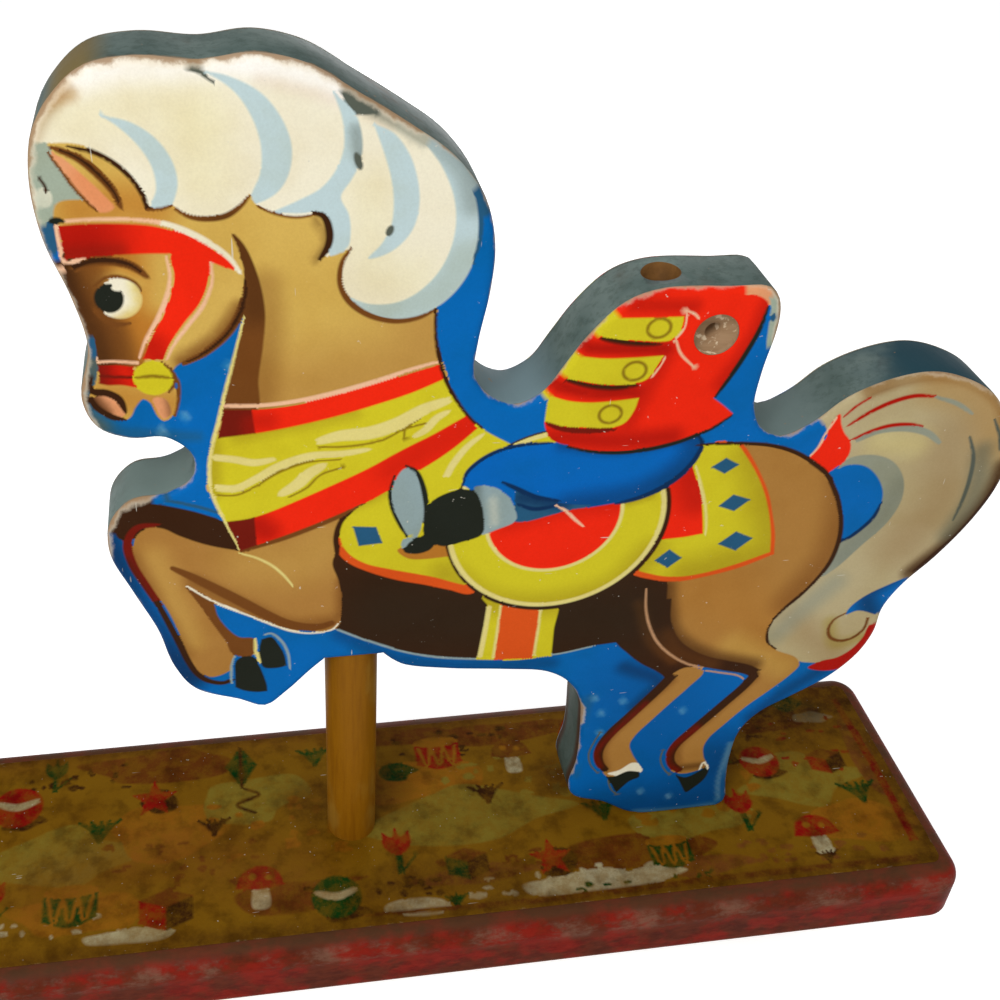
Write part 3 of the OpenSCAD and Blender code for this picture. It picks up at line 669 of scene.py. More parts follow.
# Rolled locks with pale blue between them
MANE_AREAS = [
    area("cream", (-80, 246.4), (-66.6, 246.6), (-60, 246), (-55, 243.8), (-50.4, 240), (-47.4, 235),
        (-46.2, 230.4), (-43, 230), (-40.8, 231, 1), (-38, 228.8), (-34, 228), (-30, 228.4), (-27, 229.9),
        (-23.4, 233, 1), (-22.4, 230.6), (-18, 228.2), (-13, 227.1), (-8, 227.9, 1), (-6, 224.6),
        (-5.8, 220.4), (-8, 216.2, 1), (-4.6, 216.8), (-0.6, 218.4, 1), (-2.5, 214), (-2.8, 209),
        (-1, 205.4), (2.5, 201.9), (6.5, 199.7), (11, 198.9), (16, 199.6), (20.6, 201.8), (25, 206),
        (28.3, 212), (30, 220), (29.3, 229), (26, 237), (20, 243.5), (12, 249.5), (4, 262), (-20, 275),
        (-60, 275), (-82, 260)),
    area("pale_blue", (-54.6, 252.4, 1), (-48, 250.4), (-43, 246.4), (-40, 241), (-39.4, 236),
        (-40.8, 231.2, 1), (-43.6, 230.2), (-45.6, 230.8), (-44.2, 235), (-44.6, 240), (-47, 245),
        (-51, 249.6)),
    area("pale_blue", (-33, 261.4, 1), (-27, 260), (-20, 256), (-15.4, 249.4), (-13.8, 243), (-15, 236.6),
        (-18, 232.6), (-22.6, 230.8), (-23.2, 233, 1), (-21, 238), (-20.6, 244), (-22, 250), (-25, 255.6),
        (-28.6, 259)),
    area("pale_blue", (-4.6, 256, 1), (0, 251.4), (1.8, 246), (1.6, 240), (-0.6, 235.4), (-3, 231.4),
        (-1.2, 227), (-0.8, 222), (-1.6, 218.6), (-5.6, 216.8), (-5.4, 222), (-7, 227.6), (-12, 227.8),
        (-18, 228.4), (-13, 230.8), (-7.4, 233.8), (-3.8, 238.4), (-2.2, 243.6), (-2.6, 250)),
    area("pale_blue", (4.4, 248.4, 1), (9, 246), (12.6, 241), (14.6, 235), (15.2, 229), (14, 223),
        (11, 218.8), (7, 216.2), (3.4, 215.6), (6.4, 219), (8.6, 223.4), (9.2, 229), (8.6, 235), (7, 241)),
    area("pale_blue", (15, 247, 1), (20, 243.5), (26, 237), (29.3, 229), (30, 220), (28.3, 212), (25, 206),
        (20.6, 201.8), (16, 199.6), (11, 198.9), (6.5, 199.7), (2.5, 201.9), (-1, 205.4, 1), (4, 203.4),
        (10, 203.4), (15, 205.6), (20, 210.6), (23, 217), (24, 224), (23, 231), (20, 238), (17, 242.4)),
    line("slate", 1.4, (12, 248.4), (20.6, 242.6), (26, 236.4), (29.2, 229), (30, 220), (28.6, 212.6),
        tips=(0.6, 0.2)),
    line("umber", 1.2, (-62, 245.6), (-56, 243.7), (-51, 239.8), (-47.8, 235), (-46.4, 230.4),
        tips=(0.4, 1.0)),
    line("shade", 1.0, (-47, 230.2), (-43.6, 230.2), (-41, 231)),
    line("shade", 1.5, (-40.6, 230.2), (-37, 228), (-33, 227.4), (-29, 228), (-25.8, 230.2), (-23.6, 232.8)),
    line("shade", 0.7, (-22.6, 230.4), (-18, 227.9), (-13, 226.8), (-8.4, 227.4)),
    line("umber", 1.8, (-9.6, 228), (-7, 226.8), (-5.7, 223), (-6, 219.6), (-8.2, 215.6)),
    line("shade", 1.6, (-0.6, 218.6), (-2.9, 214.6), (-3.3, 209.4), (-1.6, 205), (2, 201.4), (6.4, 199.2),
        (11, 198.3), (16, 199), (20, 201)),
    line("umber", 1.1, (20, 201.4), (20.2, 195), (21, 189), (22.8, 182), (25.8, 175.4), (29.8, 169),
        (34, 164.6)),
    area("smudge", (-3.6, 256.8, 1), (0, 253.8), (6, 250.6, 1), (1, 250.6), (-1.2, 252.6)),
    line("smudge", 0.9, (-36.4, 261.8), (-33.4, 261.2), (-30, 258.6)),
    disc("smudge", (1, 239.8), 0.9, 2.2, 0.3),
    disc("smudge", (8.4, 222.4), 0.9, 1.5, -0.4),
]


# Blanket, girth and round saddle
DIAMONDS = [
    ((99.2, 147, 1), (103, 149.8, 1), (107.2, 147.2, 1), (103.4, 144.4, 1)),
    ((103.6, 133, 1), (107.4, 136.8, 1), (112.8, 134.6, 1), (108.6, 130.8, 1)),
    ((105.8, 119, 1), (110.6, 123.2, 1), (116.2, 120.2, 1), (111.6, 116, 1)),
    ((87.4, 114.6, 1), (91.4, 118.4, 1), (95.6, 114.8, 1), (91.8, 111.4, 1)),
    ((-0.4, 135.4, 1), (6, 134.6, 1), (7.8, 128.8, 1), (1.2, 128.4, 1)),
]
SADDLE_AREAS = [
    area("orange", (-5, 132), (-4.2, 126), (-1.4, 122.4), (4, 118.8), (12, 115), (20, 112.4), (27, 109.8),
        (34, 107.6), (40, 120), (20, 132)),
    area("yellow", (-3.8, 131), (-3.2, 136.6), (0, 140.8), (6, 144.8), (12, 148.4), (24, 150), (44, 140),
        (50, 112), (34, 110.6), (22, 115.2), (10, 119.2), (3, 122), (-1.6, 126)),
    area("amber", (12, 126), (24, 126.8), (36, 129.4), (38, 126), (33, 123.6), (24, 122), (15, 122.6)),
    line("umber", 1.6, (-5, 122), (-4.8, 127), (-5, 132), (-3.6, 137.4), (-0.6, 140.6)),
    area("yellow", (37, 106), (38.6, 103, 1), (38.2, 95), (36.7, 81, 1), (48, 79.4), (59.9, 79.6, 1),
        (59.7, 90), (59.2, 104)),
    area("orange", (43.4, 104), (43, 92), (42.3, 80.2, 1), (54, 79.4, 1), (54.3, 90), (54.8, 104)),
    line("straw", 1.6, (39.4, 102), (38.8, 94), (37.8, 82), tips=(0.9, 0.9)),
    line("straw", 0.9, (55, 100), (54.8, 90), (54.4, 80.4), tips=(1, 1)),
    line("straw", 0.8, (42.8, 102), (42.4, 92), (41.8, 81), tips=(1, 1)),
    area("orange", (80, 112), (88, 107.2), (96, 105.8), (104, 106.8), (114, 109.2), (124, 113.4, 1),
        (122.8, 121), (120.4, 129), (117.8, 136.4), (114.4, 143), (110.4, 149.6), (106.6, 155, 1), (98, 155),
        (90, 140)),
    area("yellow", (80, 114), (88, 109.2), (96, 107.6), (104, 108.4), (113, 110.8), (122.6, 114.4, 1),
        (121.4, 121.6), (119.4, 129), (116.8, 136), (113.6, 142.4), (109.4, 149), (105, 155, 1),
        (93.6, 154.4, 1), (88, 148), (84, 130)),
    area("red", (88, 146), (92.6, 149.4), (94.2, 146.4), (96.4, 141), (98.4, 135), (99.8, 128),
        (100.6, 123.4, 1), (95, 122.6), (88, 122.4, 1), (84, 130)),
    line("straw", 0.9, (94.4, 148), (97, 141.4), (99.4, 134.2), (101, 127), (101.4, 123)),
    *[area("slate", *diamond) for diamond in DIAMONDS],
    disc("umber", (57.4, 131.2), 32.3),
    disc("straw", (57, 131.6), 31.3),
    disc("yellow", (57, 131.6), 29.8),
    disc("straw", (56, 133.6), 19.9),
    disc("red", (56, 133.6), 18.8),
]


# Trousers, boot and striped jacket; the rider's head and arms were separate pieces
BARS = [
    area("yellow", (66.2, 195.8, 1), (75, 195.4), (83.9, 195.2, 1), (83.8, 191.6), (81.6, 188.6),
        (79, 188.2), (72, 188.9), (66, 190), (62.2, 190.9, 1)),
    area("yellow", (58.2, 185.2, 1), (64, 184.2), (72, 183.9), (80.2, 184, 1), (79, 181), (77, 177.4),
        (74.6, 176.2), (69, 175.9), (62, 176.9), (54.3, 179.1, 1)),
    area("yellow", (50.8, 174, 1), (56, 171.9), (62, 170.9), (68, 170.9), (75.2, 171.4, 1), (74.6, 168),
        (72.6, 164), (70, 162.7), (62, 163), (55, 164.2), (50.3, 166, 1)),
]
BUTTONS = [
    disc(ink, centre, wide, high)
    for centre in ((77.8, 192.2), (73, 179.8), (68, 166.8))
    for ink, wide, high in (("ochre", 3.5, 3.2), ("yellow", 2.6, 2.3))
]
RIDER_AREAS = [
    area("trousers", (29.4, 147.4), (31, 151), (35, 155), (40, 157.4), (46, 158.4), (52, 158.6), (60, 160),
        (80, 162), (92, 160), (95, 156.6), (94.4, 151), (91, 145.8), (86, 141.4), (80, 138.6), (74, 137),
        (66, 136), (60, 135.6), (54, 134), (48, 132.6), (44.6, 133), (43, 139), (38, 144.6), (33, 144.6)),
    area("slate", (44.4, 143.6), (48, 141.4), (54, 139.2), (60, 137.6), (66, 136.6), (60, 135.4), (54, 134),
        (48, 132.6), (44.4, 133.2), (44.4, 138)),
    line("navy", 1.4, (29.2, 146.6), (30.4, 151), (34.6, 155.2), (40, 157.8), (46, 158.8), (53, 158.8)),
    line("navy", 1.8, (93.4, 158), (95.2, 155.6), (94.2, 150.6), (90.6, 145), (85.4, 140.8), (79.4, 138),
        (73, 136.6)),
    line("navy", 1.6, (40, 147), (44, 144.6), (50, 141), (57, 139)),
    line("navy", 1.4, (45, 139), (50, 136.8), (57, 137.6)),
    area("silver", (32.6, 145.8), (37.6, 145.6), (42, 142.2), (44.6, 137), (45, 133.2), (40, 130.6),
        (35.2, 129.2), (34.6, 134), (34.8, 140)),
    area("black", (20.6, 141.4), (24, 144), (29, 145.4), (32.8, 144.4), (34.8, 140.4), (35.8, 135),
        (35.6, 129.2), (30, 127), (25, 126), (22.6, 126.6), (21, 125), (17.6, 124), (14, 125), (13.8, 127.4),
        (16.4, 129.6), (19, 130.4), (19.6, 136)),
    area("silver", (10.2, 146), (11, 150), (13, 153.4), (15, 153.8), (17, 150.6), (18.2, 145), (19, 139),
        (18.4, 133), (16.8, 129.6), (14.8, 131), (13, 135), (11, 140)),
    line("black", 1.5, (13.6, 154.6), (16.4, 152.6), (18.6, 147), (19.7, 140), (19.4, 131)),
    line("black", 0.9, (14.6, 130.4), (12.4, 134.6), (10.2, 140.6), (9.5, 146), (10.8, 151.6)),
    line("silver", 2.0, (13.4, 126.4), (14.4, 128.8), (16.6, 130)),
    line("pink", 4.0, (90, 201.4), (98, 201.6), (104, 200.8), (107, 198), tips=(0.3, 0.8)),
    area("red", (69, 197.8), (75, 200.6), (80, 201.3), (95, 201), (103.6, 199.6), (106, 197), (105.4, 192),
        (103.4, 186), (101, 180), (98, 174.6), (96, 169.8, 1), (99, 167.4), (102.2, 164.5, 1), (100, 161.8),
        (95, 159.4), (88, 156.4), (80, 154.8), (72, 154.5), (64, 155.5), (57.6, 157.6), (53, 159.6),
        (50.9, 163), (50.3, 168), (51, 174), (54, 179.4), (58, 185.6), (63, 192)),
    *BARS,
    *BUTTONS,
    line("maroon", 1.7, (62.4, 190.3), (66, 189.2), (72, 188), (79, 187.4)),
    line("umber", 0.7, (62.8, 190.3), (66, 189.4), (72, 188.2), (78, 187.6)),
    line("maroon", 1.7, (54.6, 178.4), (62, 175.9), (69, 174.9), (74.6, 175.4)),
    line("umber", 0.7, (55, 178.4), (62, 176.1), (69, 175.1), (74, 175.6)),
    line("maroon", 1.7, (50.5, 165.4), (55, 163.2), (62, 162), (70, 161.8)),
    line("black", 1.5, (106, 197), (104.8, 190), (102, 182), (99, 175.4), (96.2, 170)),
    line("black", 1.4, (102, 163.8), (98, 160.6), (94, 158.6), (88, 156.2), (80, 154.5), (72, 154.1),
        (64, 155.1), (57, 157.2)),
    area("sage", (103.4, 202.6), (108.6, 202), (111.4, 196), (111.4, 189), (109.6, 182), (107.8, 185),
        (107.2, 190), (106.8, 196), (105.6, 199.4)),
    disc("slate", (108, 193.6), 0.8, 1.3),
    line("pink", 2.2, (68, 199.2), (75, 201.9), (82, 202.7), (95, 202.4), (105.6, 201), tips=(0.5, 1.0)),
    line("peach", 0.7, (84.4, 196.8), (86.6, 195.8), (88.4, 193.8)),
    line("peach", 0.7, (82.6, 189), (84.6, 184.4), (88.8, 180)),
    line("peach", 0.5, (84.6, 195.6), (84.4, 191.6), (82.2, 188.2)),
    line("peach", 0.5, (80.9, 184), (79.6, 180.8), (77.6, 177)),
    line("peach", 1.0, (55.6, 137.8), (59, 135.4), (62, 132), (64.6, 129.4)),
    line("umber", 1.6, (94, 154.8), (100, 154.8), (108, 154.2), (116, 152.8), (123, 150), (129, 146),
        (134, 141.6), (138.6, 134), (141.8, 126), (143.3, 118), (142.6, 109), (140, 102.6), (136.4, 97),
        (131.6, 91), (128.9, 87), tips=(0.3, 0.6)),
    line("umber", 0.8, (129.2, 87.6), (128, 82), (129.4, 77), (132.6, 74)),
]


# Full tail, tied with a bow and curled under
TAIL_AREAS = [
    area("bone", (130.6, 157), (128.4, 163), (133, 172), (146, 184), (200, 180), (200, 120), (184, 104),
        (171, 100.6), (163, 97), (157, 93.4), (153.4, 89.4), (152.6, 86.4), (156, 87.6), (161, 86),
        (170, 80), (166, 70), (158, 66), (150, 66.4), (145, 66.8), (140.6, 68), (135.2, 71.4), (130, 74.6),
        (128, 79), (128.2, 84), (130.2, 89.6), (135, 94), (139, 100), (141.6, 105), (143.2, 112),
        (143.2, 118), (142, 127), (140, 133), (136.6, 140), (138, 148)),
    area("drab", (136.4, 141), (139, 146.4), (146, 147.4), (153, 144.6), (158, 138), (159.4, 130),
        (157, 122), (151, 114), (145, 106), (141, 103), (143, 112), (143.2, 120)),
    area("sky", (136, 141), (138, 143.8), (141.6, 144.4), (145.6, 143.2), (150, 139), (153, 133), (153, 127),
        (150.6, 122), (148, 120.2), (146, 118), (144, 117), (142.6, 121), (142, 127), (140, 133)),
    line("navy", 1.4, (153.4, 130), (152.2, 124.6), (149.6, 120.8), (146.4, 117.6), (144, 116.6),
        tips=(0.2, 0.8)),
    area("dark_red", (145, 64.6), (149, 67), (154, 68), (158, 71), (160.8, 76), (161.8, 81), (166, 80),
        (164, 72), (159, 64), (152, 62.4)),
    line("shade", 1.2, (152.6, 87), (149.4, 84.8), (148.2, 81), (149.8, 77), (154, 75.2), (158.2, 76.8),
        (160.4, 80.4), (160.4, 84.4), tips=(0.3, 0.8)),
    line("drab", 2.4, (140, 152.4), (146, 155.4), (154, 155.8), (161, 153.6), (166, 149.6)),
    line("bone", 2.0, (143, 151), (149, 152.6), (156, 151), (161, 146)),
    line("dark_red", 1.5, (136.6, 158), (142, 162), (148, 165), (154, 166.4), (161, 165.6)),
    line("dark_red", 1.3, (138.6, 153), (144, 155.6), (149, 157), (155, 157), (159, 156)),
    line("dark_red", 0.9, (134.6, 161), (137.6, 164.4), (141, 166.8)),
    line("drab", 1.4, (160, 165.6), (167, 163), (173, 159)),
    line("smudge", 1.4, (174, 152), (177.6, 144), (178.8, 136), (178.8, 128), (178, 121)),
    line("smudge", 1.0, (180, 157), (183.4, 151), (185, 146)),
    line("umber", 1.8, (188.4, 136), (186.6, 128), (184, 121), (180, 114), (175, 107.4), (170.6, 102)),
    area("red", (131, 158.6), (133.2, 162), (134.4, 158.6), (136, 155.6), (138.4, 152.6), (139.2, 149),
        (138.2, 145.4), (136, 143.6), (134, 142), (131, 145.4), (127.6, 147.4), (129.6, 151), (131, 155)),
    line("peach", 0.7, (132.8, 161.4), (130.6, 156), (129.2, 151), (126.8, 147.2)),
]


# The whole horse, from the back to the front
HORSE_PICTURE = [
    *TAIL_AREAS,
    *COAT_AREAS,
    *LEG_AREAS,
    *COLLAR_AREAS,
    *HEAD_AREAS,
    *MANE_AREAS,
    *SADDLE_AREAS,
    *RIDER_AREAS,
]


# Pale flecks of worn-through blue
FLECKS = (
    (79, 44), (85, 57.6), (75.6, 60), (78.4, 53), (105.6, 50.6), (96.6, 13), (107, 9), (112, 41),
    (-48.6, 171), (-42.6, 175), (-30.8, 188.6), (-64, 122), (-60, 108), (-52, 88),
)

# Soft shadows of the printed horse, the dirt that has darkened its edges, and painted shade where
# the light falls off on the rump, the tail and the blue by the foot: ink, the inks that it falls on,
# how far it reaches, its strength, then the points of its line
HORSE_SHADOWS = [
    ("tan", "coat", 24, 0.6, (-26, 178), (-6, 180), (14, 186), (20, 196)),
    ("shade", "coat", 7, 0.35, (-21, 210), (-20.4, 200), (-22, 188), (-23, 178)),
    ("umber", "shade", 9, 0.4, (-30, 224), (-24, 213), (-23.4, 204)),
    ("umber", "coat", 1.8, 0.3, (-9, 226), (-6.4, 221), (-9, 216)),
    ("shade", "coat", 4, 0.7, (-27.4, 204), (-33, 196.4), (-42, 190.4)),
    ("amber", "coat", 10, 0.7, (-62, 231), (-52, 232), (-46, 231)),
    ("amber", "coat", 9, 0.6, (-60, 182), (-47, 178)),
    ("coat", "amber", 9, 0.9, (-44, 218), (-45, 208)),
    ("coat", "amber", 3.4, 0.7, (-59, 213), (-55, 214.6), (-50.6, 212)),
    ("umber", "amber", 9, 0.9, (-67, 219), (-65, 211), (-62.4, 204), (-60.4, 198), (-59.8, 191)),
    ("shade", "amber", 7, 0.7, (-60, 217), (-59, 205), (-57, 198), (-56, 192)),
    ("straw", "cream", 3.2, 0.7, (-51, 212), (-50.6, 206), (-53.4, 203.4)),
    ("coat", "cream", 2, 0.5, (-50.4, 211), (-51, 204.6), (-56, 203)),
    ("dark_red", "red", 18, 1.0, (-66, 223), (-61, 223)),
    ("maroon", "red", 4, 0.4, (-66, 220), (-54, 220.4)),
    ("dark_red", "red", 7, 0.7, (-49, 195), (-47, 191)),
    ("maroon", "dark_red", 5, 0.8, (-62.6, 190), (-62.6, 185)),
    ("red", "dark_red", 4, 0.6, (-56, 189), (-54, 184.6)),
    ("umber", "pink", 3.4, 0.7, (-64.6, 181.6), (-62, 177)),
    ("umber", "pink", 2.4, 0.4, (-46, 180), (-45.6, 175)),
    ("coat", "tan", 16, 0.4, (-28, 126), (-16, 124), (-8, 130)),
    ("coat", "tan", 7, 0.4, (-54, 130), (-50, 114), (-46, 98)),
    ("shade", "tan", 5, 0.4, (-60, 130), (-55, 112), (-49, 94)),
    ("shade", "tan", 5, 0.5, (-44, 120), (-30, 109), (-18, 101), (-6, 101)),
    ("shade", "tan", 3.4, 0.6, (-3.4, 116), (-3.6, 104)),
    ("amber", "tan", 22, 0.25, (104, 104), (118, 92), (130, 84)),
    # Partly painted shade: the rump darker where the light falls off
    ("shade", "tan", 10, 0.5, (140, 140), (142, 128), (142, 112), (133, 94)),
    ("coat", "tan", 9, 0.45, (118, 78), (130, 70), (136, 66)),
    ("umber", "tan", 5.4, 0.6, (92.6, 104), (94, 96), (98, 84), (110, 74), (126, 68)),
    ("shade", "tan", 3, 0.5, (100, 64), (88, 49), (81, 36), (83, 26)),
    ("shade", "tan", 3, 0.5, (128, 62), (116, 46), (107, 34), (108, 24)),
    ("umber", "tan", 3, 0.5, (110, 22.4), (116, 22.6)),
    ("maroon", "umber", 2.4, 0.8, (93, 55), (84, 42.6), (79, 34), (81, 27)),
    ("maroon", "umber", 3.4, 0.9, (112, 41), (104, 32), (104, 25), (108, 21)),
    ("shade", "umber", 3.4, 0.5, (85, 98), (91, 82), (99, 73)),
    ("shade", "umber", 6, 0.45, (96, 84), (100, 77), (112, 70)),
    ("black", "umber", 30, 0.35, (10, 104), (40, 98), (80, 94)),
    ("umber", "maroon", 4, 0.5, (-62, 128), (-57, 112)),
    ("ochre", "yellow", 6, 0.6, (-33, 133), (-20, 137), (-4, 143), (10, 150)),
    ("ochre", "yellow", 4, 0.4, (-36, 166), (-37, 150)),
    ("ochre", "yellow", 4, 0.3, (-30, 167), (0, 172)),
    ("ochre", "yellow", 9, 0.4, (26, 116), (38, 105), (56, 101), (76, 106), (86, 118)),
    ("ochre", "yellow", 13, 0.45, (112, 150), (119, 132), (122, 116), (100, 108)),
    ("ochre", "yellow", 3, 0.5, (83, 139), (77, 137)),
    ("dark_red", "maroon", 5, 0.5, (-26, 171), (-26, 168)),
    ("dark_red", "red", 5, 0.5, (-26, 171.6), (-22, 171.4)),
    ("dark_red", "red", 7, 0.8, (-26, 138), (-24, 136)),
    ("dark_red", "red", 9, 0.35, (30, 166), (10, 154)),
    ("dark_red", "red", 5, 0.6, (98, 174), (104, 188), (106, 197)),
    ("dark_red", "red", 4, 0.6, (70, 199.4), (86, 198)),
    ("dark_red", "red", 3.6, 1.0, (60, 187.6), (70, 186.6), (80, 186)),
    ("dark_red", "red", 3.6, 1.0, (52, 177), (62, 174), (74, 173.6)),
    ("dark_red", "red", 5, 0.5, (81, 185), (77, 174), (73, 164)),
    ("dark_red", "red", 6, 0.8, (51, 160), (58, 160), (70, 158), (86, 158)),
    ("dark_red", "red", 8, 0.4, (44, 134), (54, 137), (74, 138)),
    ("dark_red", "red", 10, 0.6, (92, 148), (97, 136)),
    ("navy", "trousers", 8, 0.5, (60, 137), (80, 140), (93, 150), (94, 157)),
    ("navy", "trousers", 4, 0.45, (56, 158), (72, 155), (90, 158)),
    ("sky", "trousers", 8, 0.3, (44, 152), (60, 150), (80, 150)),
    ("navy", "slate", 4, 0.7, (46, 141), (58, 138)),
    ("cream", "silver", 2.4, 0.4, (38, 141), (39, 133)),
    ("black", "silver", 3, 0.3, (33, 146), (34, 132)),
    ("white", "cream", 6, 1.0, (-61, 258.6), (-50, 261.4), (-38, 261.8), (-24, 262.4), (-10, 259.4),
        (-3, 256)),
    ("straw", "cream", 12, 0.14, (-60, 252), (-46, 254), (-34, 254)),
    ("straw", "cream", 14, 0.2, (-34, 246), (-34, 238)),
    ("straw", "cream", 12, 0.14, (4, 232), (6, 212), (14, 210)),
    ("fawn", "cream", 3, 0.15, (-20, 259), (-4, 254), (8, 248)),
    ("shade", "cream", 6, 0.7, (-74, 243), (-70, 252), (-64, 259)),
    ("smudge", "sky", 7, 0.95, (-62, 193), (-66, 186), (-68, 178), (-64, 172)),
    ("smudge", "pale_blue", 3, 0.4, (0.4, 247), (1.8, 240), (4.6, 236)),
    ("smudge", "pale_blue", 5, 0.35, (16, 246), (25, 237), (28, 228)),
    ("sage", "pale_blue", 8, 0.4, (6, 200), (20, 205), (26, 214)),
    ("smudge", "cream", 2.6, 0.5, (3, 252), (10, 248), (16, 244)),
    ("tan", "cream", 3, 0.5, (-66, 255), (-60, 257)),
    ("shade", "bone", 4, 0.75, (140, 169), (152, 173), (168, 171), (180, 163), (187, 150)),
    ("tan", "bone", 12, 0.45, (160, 170), (174, 164), (184, 148)),
    # Partly painted shade: the tail darker towards the right
    ("shade", "bone", 16, 0.22, (168, 152), (172, 130), (164, 114)),
    ("umber", "bone", 5, 0.8, (188, 140), (187, 130), (180, 114), (170, 102)),
    ("smudge", "bone", 6, 0.5, (180, 146), (182, 130), (178, 116)),
    ("smudge", "drab", 7, 0.2, (158, 136), (154, 122), (146, 110)),
    ("straw", "bone", 9, 0.35, (148, 152), (158, 150)),
    ("shade", "bone", 9, 0.18, (136, 86), (146, 76), (152, 70)),
    ("drab", "bone", 7, 0.6, (131, 80), (138, 90), (146, 100)),
    ("ochre", "bone", 4, 0.35, (148, 84), (152, 74), (160, 76)),
    ("navy", "sky", 9, 0.85, (-66, 136), (-62, 116), (-56, 100), (-48, 84)),
    # Painted shade: the blue darker low down by the foot
    ("navy", "sky", 22, 0.5, (80, 2), (104, 2), (124, 8), (124, 24)),
    ("navy", "sky", 40, 0.22, (92, 60), (104, 20)),
    ("navy", "sky", 5, 0.6, (84, 72), (96, 64), (90, 54)),
    ("navy", "sky", 6, 0.6, (166, 102), (158, 94), (162, 84)),
    ("navy", "sky", 5, 0.5, (150, 63), (140, 55), (130, 44)),
    ("navy", "sky", 5, 0.4, (-4, 96), (14, 84), (40, 78), (60, 77)),
    ("slate", "sky", 3, 0.6, (-60, 171), (-52, 170), (-40, 168)),
    ("slate", "sky", 3, 0.6, (74, 60), (72, 40), (73, 24)),
    ("silver", "sky", 2.4, 0.4, (96, 2), (110, 1), (124, 1.6)),
    ("silver", "sky", 1.8, 0.5, (125, 32), (124, 14), (125.6, 4)),
    ("sage", "cream", 8, 0.5, (-72, 236), (-66, 228)),
    ("orange", "pink", 5, 0.15, (-56, 232), (-60, 238)),
    *[("pale_blue", "sky", 1.9, 0.4, (x, y), (x + 0.4, y - 1)) for x, y in FLECKS],
]


# The base's picture: things from a toy box on a meadow, x along the base and y across it

def blob(ink, x, y, wide, high, seed):
    """An irregular patch"""
    chance = random.Random(seed)
    spots = []
    for i in range(9):
        turn = (i + chance.uniform(-0.3, 0.3)) * 2 * math.pi / 9
        reach = chance.uniform(0.66, 1.2)
        spots.append((x + wide * reach * math.cos(turn), y + high * reach * math.sin(turn)))
    return area(ink, *spots)


def pebbles(ink, x, y, wide, high, count, size):
    """A loose cluster of small dabs"""
    chance = random.Random(round(x * 7 + y * 3))
    return [
        blob(ink, x + wide * chance.uniform(-1, 1), y + high * chance.uniform(-1, 1),
             size * chance.uniform(0.5, 1.4), size * chance.uniform(0.4, 1.0), chance.random())
        for _ in range(count)
    ]


def placed(x, y, size, *points):
    """Points of a motif's own grid at its place and size; a corner's third value stays"""
    return [(x + size * p[0], y + size * p[1], *p[2:]) for p in points]


def star(ink, x, y, size):
    """A star and its shadow"""
    corners = []
    for i in range(10):
        reach = size if i % 2 == 0 else size * 0.45
        angle = math.pi / 2 + i * math.pi / 5
        corners.append((x + reach * math.cos(angle), y + reach * math.sin(angle), 1))
    return [
        blob("umber", x + size * 0.2, y - size * 0.3, size * 0.9, size * 0.7, x),
        area(ink, *corners),
    ]


def ball(ink, x, y, size):
    """A beach ball with a pale band and its shadow"""
    return [
        blob("umber", x + size * 0.3, y - size * 0.8, size * 0.9, size * 0.4, x),
        disc(ink, (x, y), size),
        line("chalk", size * 0.36, *placed(x, y, size, (-0.86, 0.3), (0, 0.02), (0.86, 0.3))),
    ]


def kite(ink, x, y, size):
    """A kite with its spine and its tail"""
    tail = placed(x, y, size, (0, -1.1), (0.6, -1.5), (-0.2, -1.9), (0.5, -2.4))
    return [
        area(ink, *placed(x, y, size, (0, 1, 1), (0.62, 0, 1), (0, -1.1, 1), (-0.62, 0, 1))),
        line("umber", size * 0.16, *placed(x, y, size, (0, 1), (0, -1.1)), tips=(1, 1)),
        line("umber", size * 0.18, *tail),
    ]


def tulip(ink, x, y, size):
    """A tulip on its stem"""
    flower = placed(x, y, size, (-0.6, 0.8, 1), (-0.2, 0.5), (0, 1, 1), (0.2, 0.5), (0.6, 0.8, 1),
                    (0.6, 0), (0, -0.5), (-0.6, 0))
    return [
        line("leaf", size * 0.3, *placed(x, y, size, (0, -1.5), (0, 0)), tips=(1, 1)),
        area("leaf", *placed(x, y, size, (0, -1.5), (1, -0.3), (0.3, -1))),
        area(ink, *flower),
    ]


def drum(ink, x, y, size):
    """A toy drum with a zigzag cord"""
    side = placed(x, y, size, (-0.9, 0.6, 1), (0.9, 0.6, 1), (0.9, -0.5, 1), (0, -0.8), (-0.9, -0.5, 1))
    zigzag = [
        line("honey", size * 0.14, *placed(x, y, size, (a, 0.42), (a + 0.25, -0.56), (a + 0.5, 0.42)),
             tips=(1, 1))
        for a in (-0.75, -0.25, 0.25)
    ]
    return [
        area(ink, *side),
        *zigzag,
        disc("honey", (x, y + size * 0.6), size * 0.92, size * 0.26),
    ]


def block(ink, x, y, size):
    """A wooden block seen from a corner"""
    return [
        area("umber", *placed(x, y, size, (0, -1, 1), (1, -0.6, 1), (1, 0.4, 1), (0, 0, 1))),
        area(ink, *placed(x, y, size, (0, -1, 1), (0, 0, 1), (-1, 0.4, 1), (-1, -0.6, 1))),
        area("rust", *placed(x, y, size, (0, 0, 1), (1, 0.4, 1), (0, 0.8, 1), (-1, 0.4, 1))),
    ]


def mushroom(ink, x, y, size):
    """A spotted mushroom"""
    cap = placed(x, y, size, (-1, 0, 1), (-0.7, 0.7), (0, 1), (0.7, 0.7), (1, 0, 1), (0, -0.15))
    return [
        area("chalk", *placed(x, y, size, (-0.22, 0), (0.22, 0), (0.32, -1), (-0.32, -1))),
        area(ink, *cap),
        disc("honey", (x - size * 0.3, y + size * 0.5), size * 0.16),
        disc("honey", (x + size * 0.35, y + size * 0.4), size * 0.14),
    ]


def tuft(ink, x, y, size):
    """A tuft of grass"""
    return [
        line(ink, size * 0.22, *placed(x, y, size, (0, 0), (lean * 0.4, 0.6), (lean, 1)), tips=(1.0, 0.2))
        for lean in (-0.8, -0.35, 0.05, 0.4, 0.8)
    ]


